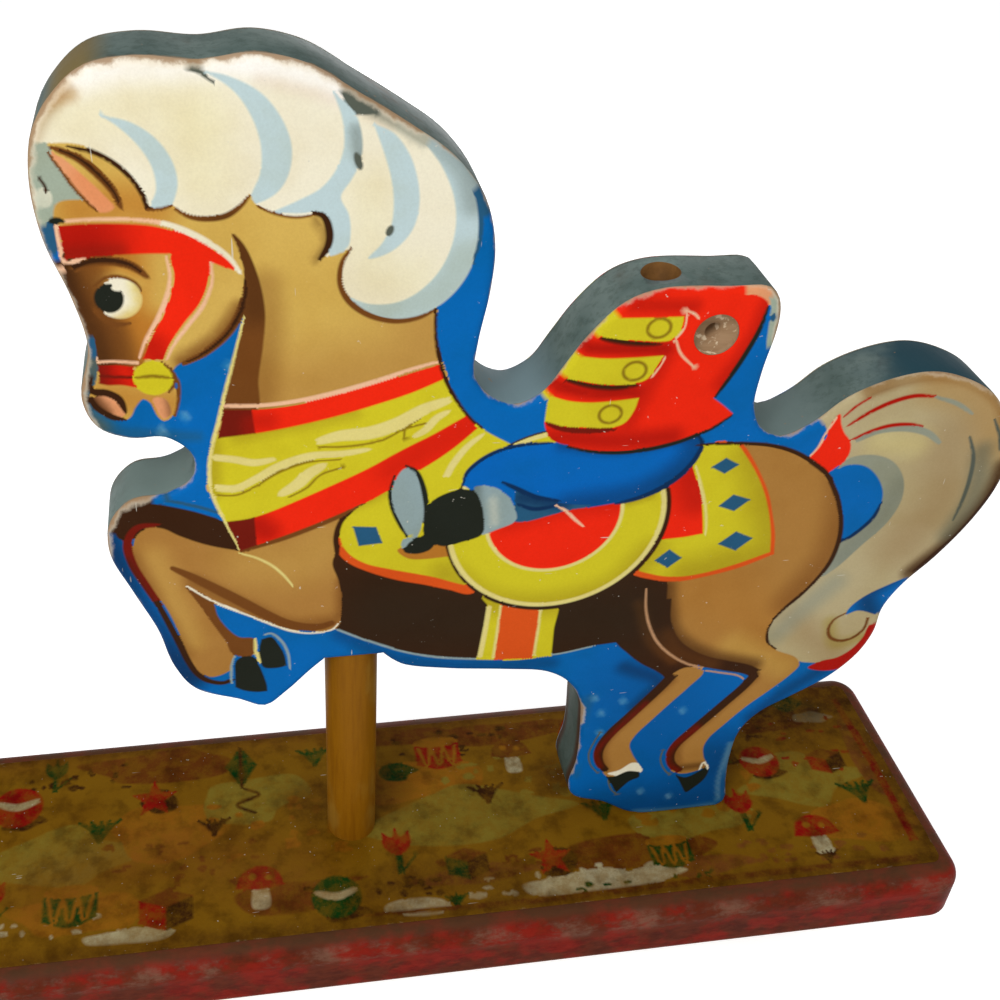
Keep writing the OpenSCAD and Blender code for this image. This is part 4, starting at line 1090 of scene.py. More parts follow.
# Patches: ink, middle, half width and half height
PATCHES = (
    ("meadow", -98, -2, 28, 12), ("honey", -60, 4, 20, 12), ("meadow", -34, 14, 22, 10),
    ("honey", 24, 14, 22, 9), ("meadow", 40, -2, 34, 13), ("rust", 60, 33, 26, 5),
    ("rust", 20, 35, 20, 4), ("rust", 92, -24, 30, 6), ("meadow", 118, -14, 26, 8),
    ("rust", 150, 28, 26, 10), ("meadow", 158, -2, 24, 12), ("honey", 176, -22, 18, 10),
    ("rust", -62, 32, 30, 7), ("rust", -22, -26, 24, 6), ("honey", -88, -26, 24, 8),
    ("shade", 132, 37, 26, 3), ("shade", 40, -26, 22, 4), ("shade", 112, -33, 20, 4),
    ("leaf", 168, 34, 7, 5), ("leaf", 18, 20, 8, 4), ("shade", 186, 8, 5, 22),
    ("chalk", 74, -34, 26, 4.4), ("chalk", 16, -36, 13, 3.2), ("chalk", 96, -33, 10, 4),
    ("chalk", 176, 26, 7, 3), ("chalk", -74, -35, 16, 2.6),
)

# Clusters of dabs: ink, middle, half width, half height, how many and their size
DABS = (
    ("umber", 2, -28, 24, 4, 20, 1.6), ("rust", 56, -24, 30, 5, 30, 1.7),
    ("umber", 140, 26, 16, 8, 34, 1.3), ("rust", -58, -10, 26, 10, 20, 1.6),
    ("meadow", 60, 10, 30, 12, 24, 2.2), ("umber", -92, 30, 22, 6, 16, 1.6),
    ("berry", 170, 14, 14, 14, 14, 1.5), ("honey", 120, 0, 30, 14, 26, 2.4),
    ("leaf", 92, -36, 22, 2, 10, 1.2), ("chalk", 60, -31, 26, 4, 18, 1.5),
    ("shade", 150, -30, 32, 6, 26, 1.7), ("umber", 34, 30, 26, 6, 18, 1.5),
    ("honey", -20, 2, 26, 14, 24, 2.2), ("chalk", -100, -30, 18, 5, 10, 1.4),
)

# Motifs in two loose rows: kind, ink, middle and size
MOTIFS = (
    (ball, "berry", -112, 20, 8.5), (drum, "leaf", -92, -22, 9.5), (star, "berry", -66, 18, 8),
    (kite, "leaf", -36, 29, 9), (block, "berry", -62, -26, 8.5), (tulip, "berry", -118, -16, 8),
    (mushroom, "berry", -32, -22, 8), (tuft, "leaf", -84, 2, 9), (ball, "leaf", -8, -29, 8),
    (drum, "berry", 34, 26, 9), (tulip, "berry", 14, -12, 7.5), (mushroom, "rust", 60, 22, 7.5),
    (block, "leaf", 36, -21, 7), (kite, "berry", 84, 30, 8), (star, "berry", 64, -23, 7.5),
    (tuft, "umber", 48, 2, 8), (tuft, "leaf", 86, -10, 8), (drum, "leaf", 104, -26, 8),
    (tulip, "berry", 134, -10, 7.5), (mushroom, "berry", 156, -25, 8), (ball, "berry", 148, 8, 7),
    (tuft, "leaf", 178, -14, 9), (star, "leaf", 134, 14, 7), (block, "berry", 172, 6, 6.5),
    (tuft, "umber", -46, 0, 7), (tuft, "umber", 118, 24, 9), (tulip, "leaf", -100, 34, 6),
    (tuft, "leaf", -10, 26, 8), (tuft, "umber", 156, -37, 5), (tuft, "leaf", 30, -38, 5),
)

# Grime that gathers along the sides and in blots, and painted shadow round the post and the foot;
# rows as for the horse
EARTH = "ground meadow shade honey rust chalk leaf berry"
BASE_SHADOWS = (
    ("shade", EARTH, 12, 0.35, (-128, 41), (190, 41)),
    ("umber", EARTH, 4, 0.35, (-128, 41), (190, 41)),
    ("umber", EARTH, 8, 0.45, (-128, -41), (190, -41)),
    # Painted shadows of the post and of the foot on the paper
    ("umber", EARTH, 16, 0.45, (-12, 10), (0, 12), (12, 10)),
    ("umber", EARTH, 12, 0.6, (74, 12), (98, 10), (130, 8)),
    ("umber", EARTH, 26, 0.5, (140, 30), (168, 24), (186, 34)),
    ("umber", EARTH, 12, 0.5, (192, -38), (192, 38)),
    ("umber", EARTH, 12, 0.4, (4, -28), (30, -26), (50, -30)),
    ("shade", EARTH, 24, 0.4, (-100, -14), (-60, -6), (-20, -20)),
    ("ground", "rust shade honey chalk", 10, 0.4, (60, 0), (120, -12), (170, -6)),
    ("black", EARTH, 9, 0.35, (150, 34), (176, 30)),
)


def base_picture():
    """Every area of the base's picture: patches, dabs, motifs and the lines along two rims"""
    areas = [blob(*patch, patch[1]) for patch in PATCHES]
    for dab in DABS:
        areas += pebbles(*dab)
    for draw, *row in MOTIFS:
        areas += draw(*row)
    return areas + [
        line("rust", 2.4, (0, -37), (60, -38.6), (120, -38), (186, -38.6), tips=(0.2, 1)),
        line("berry", 3.0, (187.6, -32), (188.4, 0), (187.6, 34), tips=(1, 0.6)),
    ]


# Meshes of the printed papers

def face_loops(node, axis, low_side):
    """The closed loops, in mm, that bound the flat outer face of a paper, widest first"""
    mesh = frame["nodes"][node].data
    spread = np.array([v.co for v in mesh.vertices]) / MM
    level = spread[:, axis].min() if low_side else spread[:, axis].max()
    flat = np.delete(spread, axis, axis=1)
    keys = [tuple(np.round(p, 3)) for p in flat]
    on_face = np.abs(spread[:, axis] - level) < FACE_SLACK
    edges = set()
    for polygon in mesh.polygons:
        corners = list(polygon.vertices)
        if on_face[corners].all():
            edges.update((keys[a], keys[b]) for a, b in zip(corners, corners[1:] + corners[:1]))
    loops = [np.array(loop) for loop in joined_loops(edges)]
    return sorted(loops, key=lambda loop: -abs(signed_area(loop)))


def rounded(loop, step):
    """A loop of straight runs drawn as a smooth one, with its sharp corners kept"""
    before = loop - np.roll(loop, 1, axis=0)
    after = np.roll(loop, -1, axis=0) - loop
    bends = np.arctan2(
        before[:, 0] * after[:, 1] - before[:, 1] * after[:, 0], (before * after).sum(axis=1)
    )
    points = [(*p, 1) if abs(bend) > SHARP_BEND else tuple(p) for p, bend in zip(loop, bends)]
    return smooth_loop(points, step)


def triangulate(loops, loose):
    """Triangles inside the first loop, each with the numbers of the loops that hold it"""
    points = []
    polygons = []
    for loop in loops:
        polygons.append(list(range(len(points), len(points) + len(loop))))
        points += [Vector(p) for p in loop]
    points += [Vector(p) for p in loose]
    spots, _, faces, _, _, holders = delaunay_2d_cdt(points, [], polygons, 0, MERGE, True)
    return np.array(spots), [(face, holder) for face, holder in zip(faces, holders) if 0 in holder]


def hex_grid(outline, step):
    """Evenly spread points over the box round an outline"""
    low, high = outline.min(axis=0), outline.max(axis=0)
    spots = []
    for i, y in enumerate(np.arange(low[1], high[1], step * math.sqrt(3) / 2)):
        x = np.arange(low[0] + (i % 2) * step / 2, high[0], step)
        spots.append(np.stack([x, np.full(len(x), y)], axis=1))
    return np.vstack(spots)


def cells(points, size):
    """A number for the square cell that each point lies in"""
    return np.floor(points / size).astype(int) @ np.array((1, CELL_ROW))


def ink_at(points, ground, areas):
    """Name of the ink on top at each point"""
    top = np.full(len(points), len(areas))
    for number, (_, loop, _) in enumerate(areas):
        low, high = loop.min(axis=0), loop.max(axis=0)
        near = np.flatnonzero(((points > low) & (points < high)).all(axis=1))
        if len(near):
            top[near[inside(points[near], loop)]] = number
    return np.array([ink for ink, _, _ in areas] + [ground])[top]


def picture_spots(outline, holes, ground, areas, soft, grain):
    """Points on both sides of every edge that shows and in every thin line, then a plain grid"""
    sides = [outward(loop) * soft for _, loop, _ in areas]
    inner = np.vstack([loop - side for (_, loop, _), side in zip(areas, sides)])
    outer = np.vstack([loop + side for (_, loop, _), side in zip(areas, sides)])
    shows = ink_at(inner, ground, areas) != ink_at(outer, ground, areas)
    middles = [middle_line for _, _, middle_line in areas if middle_line is not None]
    close = np.vstack([*middles, inner[shows], outer[shows]])
    _, first = np.unique(cells(close, soft), return_index=True)
    close = close[np.sort(first)]
    plain = hex_grid(outline, grain)
    plain = plain[~np.isin(cells(plain, grain * 0.7), cells(close, grain * 0.7))]
    loose = np.vstack([close, plain])
    loose = loose[inside(loose, outline - outward(outline) * RIM_GAP)]
    for hole in holes:
        loose = loose[~inside(loose, hole + outward(hole) * RIM_GAP)]
    return loose


def flat_print(node, axis, low_side, ground, picture, shadows, origin, scale, soft, grain):
    """Points, triangles, display colours and rim distances of the printed face of a node

    The points lie soft apart along the edges of the areas and grain apart between them.
    """
    def moved(points):
        return points * scale + origin

    loops = face_loops(node, axis, low_side)
    outline = rounded(counter_clockwise(loops[0]), grain)
    holes = [counter_clockwise(loop) for loop in loops[1:]]
    areas = [(ink, moved(loop), None if middle_line is None else moved(middle_line))
             for ink, loop, middle_line in picture]
    loose = picture_spots(outline, holes, ground, areas, soft, grain)
    spots, found = triangulate([outline, *holes], loose)
    triangles = [tuple(face) for face, holder in found if len(holder) == 1]

    settings = inks()
    ink_of = ink_at(spots, ground, areas)
    table = {name: np.array(getattr(settings, name)) for name in set(ink_of)}
    colours = np.array([table[name] for name in ink_of])
    for ink, on, reach, strength, *points in shadows:
        taken = np.flatnonzero(np.isin(ink_of, on.split()))
        run = moved(smooth_line(points, SHADOW_STEP))
        amount = soft_share(spots[taken], run, reach, strength)[:, None]
        colours[taken] = colours[taken] * (1 - amount) + np.array(getattr(settings, ink)) * amount
    return spots, triangles, colours, distance_to(spots, outline, closed=True)


# Rings that close a sheet's edge on a flat board: how far each lies outside the printed face and
# below it, and its distance from the rim as the paper's material reads it
FLAT_RINGS = ((0.16, 0.05, 0.0), (0.28, 0.16, -0.1), (0.32, PAPER_THICK, -0.2))

# Steps of the rings that take a sheet's edge over the rounded arris and back under itself: degrees
# round the arris, and how far the paper stands off the wood there
ARRIS_STEPS = (
    (14, 0.29), (28, 0.26), (41, 0.22), (53, 0.18), (64, 0.13), (68, 0.02), (45, 0.0), (20, 0.0),
)


def arris_rings():
    """The same rings for a sheet that turns over the arris"""
    rings = []
    for degrees, thick in ARRIS_STEPS:
        turn = math.radians(degrees)
        reach = (ARRIS + thick) * math.sin(turn)
        depth = ARRIS + PAPER_THICK - (ARRIS + thick) * math.cos(turn)
        rings.append((reach, depth, -ARRIS * turn))
    return rings + [(0.0, PAPER_THICK, 0.0)]


def paper_sheet(name, node, axis, low_side, printed, outer_rings):
    """A closed sheet of printed paper on the flat face of a node"""
    spots, front, colours, rim_of = printed
    triangles = list(front)
    places = [np.column_stack([spots, np.zeros(len(spots))])]
    shades = [colours]
    rims = [rim_of]
    count = len(spots)
    edges = []
    around = joined_loops({pair for a, b, c in front for pair in ((a, b), (b, c), (c, a))})
    for loop in sorted(around, key=lambda loop: -signed_area(spots[loop])):
        flat = spots[loop]
        normal = outward(flat)
        last = loop
        after = np.roll(np.arange(len(loop)), -1)
        for reach, depth, rim in (FLAT_RINGS if edges else outer_rings):
            ring = list(range(count, count + len(loop)))
            places.append(np.column_stack([flat + normal * reach, np.full(len(loop), depth)]))
            shades.append(colours[loop])
            rims.append(np.full(len(loop), rim))
            count += len(loop)
            for i, j in enumerate(after):
                triangles += [(last[j], last[i], ring[i]), (last[j], ring[i], ring[j])]
            last = ring
        edges.append((flat, last) if signed_area(flat) > 0 else (flat[::-1], last[::-1]))
    printed_faces = len(triangles)

    # The unprinted back, from the innermost rings only
    numbers = [i for _, ring in edges for i in ring]
    back_spots, back_faces = triangulate([flat for flat, _ in edges], [])
    if len(back_spots) != len(numbers):
        raise RuntimeError(f"{name}: the sheet's back doesn't fit its edge")
    for face, holder in back_faces:
        if len(holder) == 1:
            triangles.append(tuple(numbers[i] for i in reversed(face)))
    corners = np.vstack(shades)[np.array(triangles)]
    corners[printed_faces:] = np.array(inks().cream)

    places = np.vstack(places)
    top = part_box(node)[0 if low_side else 1][axis] / MM
    level = places[:, 2] * (1 if low_side else -1) + top
    solid = np.insert(places[:, :2], axis, level, axis=1) * MM
    flip = (axis == ACROSS) != low_side
    mesh = bpy.data.meshes.new(name)
    mesh.from_pydata(solid.tolist(), [], [t[::-1] if flip else t for t in triangles])
    mesh.polygons.foreach_set("use_smooth", [True] * len(mesh.polygons))
    store_colours(mesh, "ink", (corners[:, ::-1] if flip else corners).reshape(-1, 3))
    store_numbers(mesh, "rim", np.concatenate(rims))
    chafe = chafing(places[:, :2]) if axis == ACROSS else np.full(count, BASE_CHAFE)
    store_numbers(mesh, "chafe", chafe)
    if mesh.validate():
        raise RuntimeError(f"{name}: the sheet has a broken face")
    return new_object(name, mesh)


def chafing(places):
    """How hard each place on the horse has been rubbed, from 0 to 1"""
    worn = np.full(len(places), LEAST_CHAFE)
    for strength, reach, *points in RUBBED_EDGES:
        run = smooth_line(points, EDGE_STEP) + HORSE_ORIGIN
        worn = np.maximum(worn, soft_share(places, run, reach, strength))
    return worn


def store_colours(mesh, name, corners):
    """Writes display colours to a colour attribute, one for each corner of each face"""
    layer = mesh.color_attributes.new(name, "FLOAT_COLOR", "CORNER")
    layer.data.foreach_set("color", np.column_stack([linear(corners), np.ones(len(corners))]).ravel())


def store_numbers(mesh, name, values):
    """Writes one number for each vertex"""
    layer = mesh.attributes.new(name, "FLOAT", "POINT")
    layer.data.foreach_set("value", np.asarray(values, np.float32))


def new_object(name, data):
    """An object that is linked to the scene"""
    made = bpy.data.objects.new(name, data)
    bpy.context.scene.collection.objects.link(made)
    return made


# Materials

def linear(display):
    """Scene values of display values"""
    display = np.array(display)
    return np.where(display <= 0.04045, display / 12.92, ((display + 0.055) / 1.055) ** 2.4)


def scene_colour(value):
    """Scene colour, with alpha, of a display colour; a node's output stays as it is"""
    return value if isinstance(value, bpy.types.NodeSocket) else (*linear(value), 1.0)


def dimmed(rgb, factor):
    return tuple(value * factor for value in rgb)


class Nodes:
    """The node tree of a material or a world, with a short call that adds and links a node"""

    def __init__(self, owner):
        owner.use_nodes = True
        self.tree = owner.node_tree

    def fill(self, socket, value):
        """Links a node's output to a socket, or gives the socket a number or a colour"""
        if isinstance(value, bpy.types.NodeSocket):
            self.tree.links.new(value, socket)
        else:
            socket.default_value = value

    def add(self, kind, values=None, **settings):
        """A node of that kind; values go to its inputs by number or name"""
        node = self.tree.nodes.new("ShaderNode" + kind)
        for key, value in settings.items():
            setattr(node, key, value)
        for key, value in (values or {}).items():
            self.fill(node.inputs[key], value)
        return node


class Finish(Nodes):
    """A new material whose colour is laid up in coats"""

    def __init__(self, name):
        self.material = bpy.data.materials.new(name)
        super().__init__(self.material)
        self.surface = self.tree.nodes["Principled BSDF"].inputs
        self.place = self.add("TexCoord").outputs["Object"]
        self.colour = None

    def math(self, operation, *values, clamp=False):
        node = self.add("Math", dict(enumerate(values)), operation=operation, use_clamp=clamp)
        return node.outputs[0]

    def plus(self, first, second, clamp=False):
        return self.math("ADD", first, second, clamp=clamp)

    def minus(self, first, second):
        return self.math("SUBTRACT", first, second)

    def times(self, first, second):
        return self.math("MULTIPLY", first, second)

    def noise(self, size, detail=3.0, stretch=(1, 1, 1), rough=0.55):
        """Even noise from 0 to 1 with features of about that size, in metres"""
        place = self.add("Mapping", {"Vector": self.place, "Scale": stretch}).outputs[0]
        values = {"Vector": place, "Scale": 1 / size, "Detail": detail, "Roughness": rough}
        return self.add("TexNoise", values).outputs["Fac"]

    def step(self, value, low, high):
        """0 below low and 1 above high, or the other way round where low is the larger"""
        values = {0: value, 1: low, 2: high, 3: 0.0, 4: 1.0}
        return self.add("MapRange", values, interpolation_type="SMOOTHSTEP").outputs[0]

    def rise(self, value, low, high, most):
        """0 below low and most above high"""
        return self.times(self.step(value, low, high), most)

    def torn(self, value, noise, most):
        """A value made ragged by noise, up to half of most either way"""
        return self.plus(value, self.times(self.minus(noise, 0.5), most))

    def mix(self, amount, first, second, blend="MIX"):
        """A colour between two, or the second laid over the first by another rule"""
        values = {0: amount, 6: scene_colour(first), 7: scene_colour(second)}
        node = self.add("Mix", values, data_type="RGBA", blend_type=blend, clamp_factor=True)
        return node.outputs[2]

    def coat(self, amount, tone, blend="MIX"):
        """Lays a tone over the colour so far"""
        self.colour = self.mix(amount, self.colour, tone, blend)

    def darken(self, amount, tone):
        """Multiplies the colour so far by a tone"""
        self.coat(amount, tone, "MULTIPLY")

    def attribute(self, name):
        return self.add("Attribute", attribute_name=name).outputs["Fac"]

    def coordinate(self, axis):
        return self.add("SeparateXYZ", {0: self.place}).outputs[axis]

    def from_axis(self, point, axis):
        """Distance from a line through a point along an axis"""
        flat = [1, 1, 1]
        flat[axis] = 0
        moved = self.add("VectorMath", {0: self.place, 1: tuple(point)}, operation="SUBTRACT")
        level = self.add("VectorMath", {0: moved.outputs[0], 1: flat}, operation="MULTIPLY")
        return self.add("VectorMath", {0: level.outputs[0]}, operation="LENGTH").outputs["Value"]

    def finish(self, rough, relief, depth, shine=None):
        """Gives the surface its colour, its roughness and its relief, so many metres deep

        Roughness is a least value, a noise and how much the noise adds.
        """
        least, noise, more = rough
        self.fill(self.surface["Base Color"], self.colour)
        self.fill(self.surface["Roughness"], self.plus(least, self.times(noise, more)))
        bump = self.add("Bump", {"Height": relief, "Distance": depth, "Strength": 1.0})
        self.fill(self.surface["Normal"], bump.outputs[0])
        if shine is not None:
            self.surface["Specular IOR Level"].default_value = shine
        return self.material


def mount(name):
    """Place of one of the record's mounts"""
    for item in frame["record"]["mounts"]:
        if item["name"] == name:
            return Vector(item["pos_m"])
    raise RuntimeError(f"the record has no mount {name}")


def printed_paper(name, grimy, rubbed, edge, shine, faded=0.0):
    """Varnished print: inks with fine grain, age mottling, specks, scuffs and a chafed edge"""
    f = Finish(name)
    f.colour = f.add("VertexColor", layer_name="ink").outputs["Color"]
    fine = f.noise(0.0006, 2)
    broad = f.noise(0.022, 4)
    blots = f.noise(0.005, 5, rough=0.65)
    if faded:
        f.coat(f.rise(f.noise(0.0045, 5, rough=0.7), 0.36, 0.66, faded), inks().ground)
        f.darken(f.rise(f.noise(0.007, 4), 0.42, 0.72, faded), (0.50, 0.40, 0.28))
    f.darken(f.rise(broad, 0.40, 0.72, grimy), (0.88, 0.82, 0.66))
    f.darken(f.times(fine, 0.22), (0.66, 0.62, 0.56))

    specks = f.times(f.step(f.noise(0.0013, 1), 0.72, 0.78), f.step(blots, 0.54, 0.62))
    upright = f.step(f.noise(0.0012, 1, stretch=(1.0, 1.0, 0.10)), 0.75, 0.77)
    level = f.step(f.noise(0.0011, 1, stretch=(0.12, 1.0, 1.0)), 0.75, 0.77)
    upright = f.times(upright, f.step(broad, 0.54, 0.62))
    level = f.times(level, f.step(broad, 0.46, 0.40))
    marks = f.times(f.plus(specks, f.plus(upright, level), clamp=True), rubbed)
    f.coat(marks, (0.82, 0.80, 0.74))

    # The rim: pale where the ink is thin, then the wood through it, then the edge's own paint
    inward = f.plus(f.attribute("rim"), ROLLED)
    ragged = f.torn(inward, blots, 4.0)
    reach = f.times(f.attribute("chafe"), 4.4)
    f.coat(f.rise(f.minus(ragged, reach), 0.5, -1.1, 0.55), (0.86, 0.80, 0.70))
    f.coat(f.rise(f.minus(ragged, f.times(reach, 0.62)), 0.3, -0.9, 0.85), paint().worn_wood)
    f.coat(f.rise(inward, 0.16, 0.02, 0.7), edge)
    return f.finish((0.40, broad, 0.22), f.minus(f.times(fine, 0.5), marks), 0.00006, shine)


def edge_paint(name):
    """Grey-blue paint on the sawn edge, rubbed to wood along chafed arrises, wood in the bores"""
    f = Finish(name)
    settings = paint()
    across = f.math("DIVIDE", f.math("ABSOLUTE", f.coordinate(ACROSS)), MM)
    chafe = f.attribute("chafe")
    blots = f.noise(0.009, 5, rough=0.6)
    broad = f.noise(0.026, 3)
    brushed = f.noise(0.004, 3, stretch=(1.0, 0.3, 1.0))
    f.colour = f.mix(f.step(broad, 0.35, 0.65), settings.edge, settings.edge_dark)
    f.darken(f.times(brushed, 0.30), (0.70, 0.74, 0.72))
    f.darken(f.rise(f.noise(0.0022, 4, rough=0.7), 0.45, 0.65, 0.35), (0.62, 0.66, 0.62))
    brown = f.rise(f.noise(0.014, 4, rough=0.6), 0.56, 0.72, f.plus(0.25, chafe, clamp=True))
    f.coat(f.times(brown, 0.75), settings.grime)
    # Tinted places on the edge, the dips paler as painted light
    for x, z, reach, tint in TINTED_EDGES:
        place = Vector((POST_X + x, 0, PAPER_TOP + z)) * MM
        near = f.step(f.from_axis(place, ACROSS), reach * MM, reach * MM * 0.3)
        f.coat(f.times(near, f.step(broad, 0.2, 0.5)), tint)

    # Darker towards the foot, with painted shade darkest beside the papers
    low_down = f.step(f.coordinate(UP), *DARKENING_HEIGHTS)
    f.coat(f.times(low_down, 0.65), (0.20, 0.25, 0.22))
    # Painted shadow: a dark brown band on the edge beside each paper near the foot
    shadow_beside = f.times(f.step(across, BOARD_HALF - 5.5, BOARD_HALF - 2.5), low_down)
    f.coat(f.times(shadow_beside, 0.8), (0.25, 0.13, 0.06))

    # Wood that shows along the arrises and in chips
    start = f.minus(BOARD_HALF - 0.5, f.times(chafe, 1.6 + 2.4 * settings.wear))
    rubbed = f.step(f.minus(f.torn(across, blots, 2.6), start), 0.0, 0.9)
    f.coat(f.times(rubbed, 0.85), settings.worn_wood)
    chips = f.times(f.step(f.noise(0.003, 3), 0.68, 0.72), f.step(blots, 0.5, 0.6))
    f.coat(f.times(chips, 0.5), settings.worn_wood)

    # Bare wood in the shoulder's recesses and old wood in the neck's socket
    grain = f.noise(0.0018, 3, stretch=(0.12, 1.0, 1.0))
    wood = f.mix(grain, (0.68, 0.56, 0.43), (0.50, 0.38, 0.26))
    wood = f.mix(f.step(f.noise(0.0035, 3), 0.56, 0.62), wood, (0.80, 0.72, 0.60))
    old_wood = f.mix(f.noise(0.003, 4), (0.52, 0.36, 0.18), (0.28, 0.18, 0.08))
    sunk = f.step(across, BOARD_HALF - 0.05, BOARD_HALF - 0.3)
    f.coat(f.times(f.step(f.from_axis(mount("arm_pivot"), ACROSS), *RECESS_RIM), sunk), wood)
    neck = mount("neck_socket")
    high_up = f.step(f.coordinate(UP), *(neck.z - depth for depth in SOCKET_DEPTHS))
    f.coat(f.times(f.step(f.from_axis(neck, UP), *SOCKET_RIM), high_up), old_wood)
    return f.finish((0.42, blots, 0.3), f.minus(brushed, f.times(rubbed, 0.6)), 0.00015, EDGE_SHINE)


def base_paint(name):
    """Red-brown paint, rubbed grey along the upper rounding, grimy at its top, bare underneath"""
    f = Finish(name)
    settings = paint()
    low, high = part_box("base_board")
    up = f.coordinate(UP)
    blots = f.noise(0.016, 5, rough=0.62)
    streaks = f.noise(0.0030, 4, stretch=(0.45, 1.0, 1.0), rough=0.7)
    patches = f.noise(0.011, 4, stretch=(0.8, 1.0, 1.0), rough=0.6)
    f.colour = f.mix(f.step(patches, 0.42, 0.62), settings.base, settings.base_bright)
    f.darken(f.rise(streaks, 0.35, 0.70, 0.60), (0.60, 0.50, 0.42))
    begins, full, ending, ended = (high.z - depth for depth in RIDGE_DEPTHS)
    ridge = f.times(f.step(up, begins, full), f.step(up, ended, ending))
    mottled = f.plus(f.times(blots, 0.5), f.times(streaks, 0.5))
    rubbed = f.times(f.step(mottled, 0.44, 0.66), ridge)
    f.coat(f.times(rubbed, 0.42), (0.56, 0.42, 0.34))
    f.coat(f.rise(up, *(high.z - depth for depth in GRIME_DEPTHS), 0.65), settings.grime)
    grain = f.noise(0.0016, 3, stretch=(0.1, 1.0, 1.0))
    under = f.mix(grain, (0.62, 0.46, 0.30), (0.46, 0.32, 0.19))
    f.coat(f.step(up, *(low.z + height for height in UNDERSIDE)), under)
    f.coat(f.step(f.from_axis(mount("cord_hole"), UP), *CORD_HOLE_RIM), (0.42, 0.30, 0.18))
    return f.finish((0.38, blots, 0.3), f.minus(f.times(streaks, 0.4), rubbed), 0.0002, BASE_SHINE)


def varnished_dowel(name):
    """Ochre varnish over faint upright grain, with paler rubbed patches"""
    f = Finish(name)
    settings = paint()
    grain = f.noise(0.0018, 4, stretch=(1.0, 1.0, 0.06), rough=0.6)
    broad = f.noise(0.012, 3, stretch=(1.0, 1.0, 0.5))
    f.colour = f.mix(f.rise(grain, 0.40, 0.70, 0.55), settings.varnish, settings.grain)
    f.coat(f.rise(broad, 0.50, 0.70, 0.35), (0.60, 0.48, 0.20))
    f.darken(f.times(f.noise(0.0008, 2), 0.25), (0.72, 0.62, 0.45))
    return f.finish((0.36, broad, 0.2), grain, 0.00008, POST_SHINE)


def bare_wood(name, tone):
    """Planed wood with its grain across the toy"""
    f = Finish(name)
    stretch = (1.0, 0.06, 1.0)
    grain = f.noise(0.0020, 4, stretch=stretch, rough=0.65)
    f.colour = f.mix(f.step(grain, 0.3, 0.8), tone, dimmed(tone, 0.66))
    f.darken(f.times(f.noise(0.010, 3, stretch=stretch), 0.35), (0.80, 0.68, 0.52))
    return f.finish((0.5, grain, 0.2), grain, 0.0001)


def wheel_paint(name, node):
    """Red paint, rubbed to wood on the tread and round the hub"""
    f = Finish(name)
    settings = paint()
    low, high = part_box(node)
    radius = (high.z - low.z) / 2
    blots = f.noise(0.004, 4, rough=0.6)
    out = f.torn(f.from_axis(middle(node), ACROSS), blots, 0.003)
    tread = f.step(out, radius - 0.0012, radius - 0.0002)
    worn = f.times(f.math("MAXIMUM", tread, f.step(out, *HUB_RIM)), 0.85)
    f.colour = f.mix(f.step(blots, 0.3, 0.7), settings.wheel, dimmed(settings.wheel, 0.8))
    f.coat(worn, settings.worn_wood)
    return f.finish((0.36, blots, 0.25), worn, 0.0001)


def old_steel(name, tone, rusty):
    """Dull steel with specks of rust"""
    f = Finish(name)
    blots = f.noise(0.0016, 4, rough=0.65)
    rust = f.rise(blots, 0.50, 0.68, rusty)
    f.colour = f.mix(rust, tone, (0.38, 0.20, 0.10))
    f.fill(f.surface["Metallic"], f.minus(1.0, f.times(rust, 0.9)))
    return f.finish((0.30, blots, 0.35), blots, 0.00004)


def wear_on(names, material):
    """Gives frame nodes a material"""
    for name in names:
        mesh = frame["nodes"][name].data
        mesh.materials.clear()
        mesh.materials.append(material)


# The stage

def plain_floor(settings):
    """A pale floor that looks white from the camera but keeps the toy's shadow"""
    mesh = bpy.data.meshes.new("floor")
    made = bmesh.new()
    bmesh.ops.create_grid(made, x_segments=2, y_segments=2, size=FLOOR_HALF)
    made.to_mesh(mesh)
    made.free()
    floor = new_object("floor", mesh)
    material = bpy.data.materials.new("floor_paint")
    nodes = Nodes(material)
    nodes.tree.nodes.clear()
    rays = nodes.add("LightPath").outputs
    seen = {0: rays["Is Camera Ray"], 1: rays["Is Glossy Ray"]}
    glow = {
        0: nodes.add("Math", seen, operation="MAXIMUM").outputs[0],
        1: nodes.add("Emission", {"Strength": 0.0}).outputs[0],
        2: nodes.add("Emission", {"Strength": FLOOR_GLOW}).outputs[0],
    }
    matt = nodes.add("BsdfDiffuse", {"Color": scene_colour(settings.floor)}).outputs[0]
    both = {0: matt, 1: nodes.add("MixShader", glow).outputs[0]}
    nodes.add("OutputMaterial", {0: nodes.add("AddShader", both).outputs[0]})
    mesh.materials.append(material)


def even_sky(settings):
    """White all round for the camera, and a softer even light for the toy"""
    world = bpy.data.worlds.new("studio")
    bpy.context.scene.world = world
    nodes = Nodes(world)
    nodes.tree.nodes.clear()
    light = {
        0: nodes.add("LightPath").outputs["Is Camera Ray"],
        1: nodes.add("Background", {"Color": WHITE, "Strength": settings.sky_light}).outputs[0],
        2: nodes.add("Background", {"Color": WHITE, "Strength": 1.0}).outputs[0],
    }
    nodes.add("OutputWorld", {0: nodes.add("MixShader", light).outputs[0]})


def soft_lamp(name, power, wide, place):
    """A square soft box that faces the toy"""
    data = bpy.data.lights.new(name, "AREA")
    data.energy = power
    data.size = wide
    lamp = new_object(name, data)
    lamp.location = place
    lamp.rotation_euler = (Vector(LAMP_AIM) - Vector(place)).to_track_quat("-Z", "Y").to_euler()


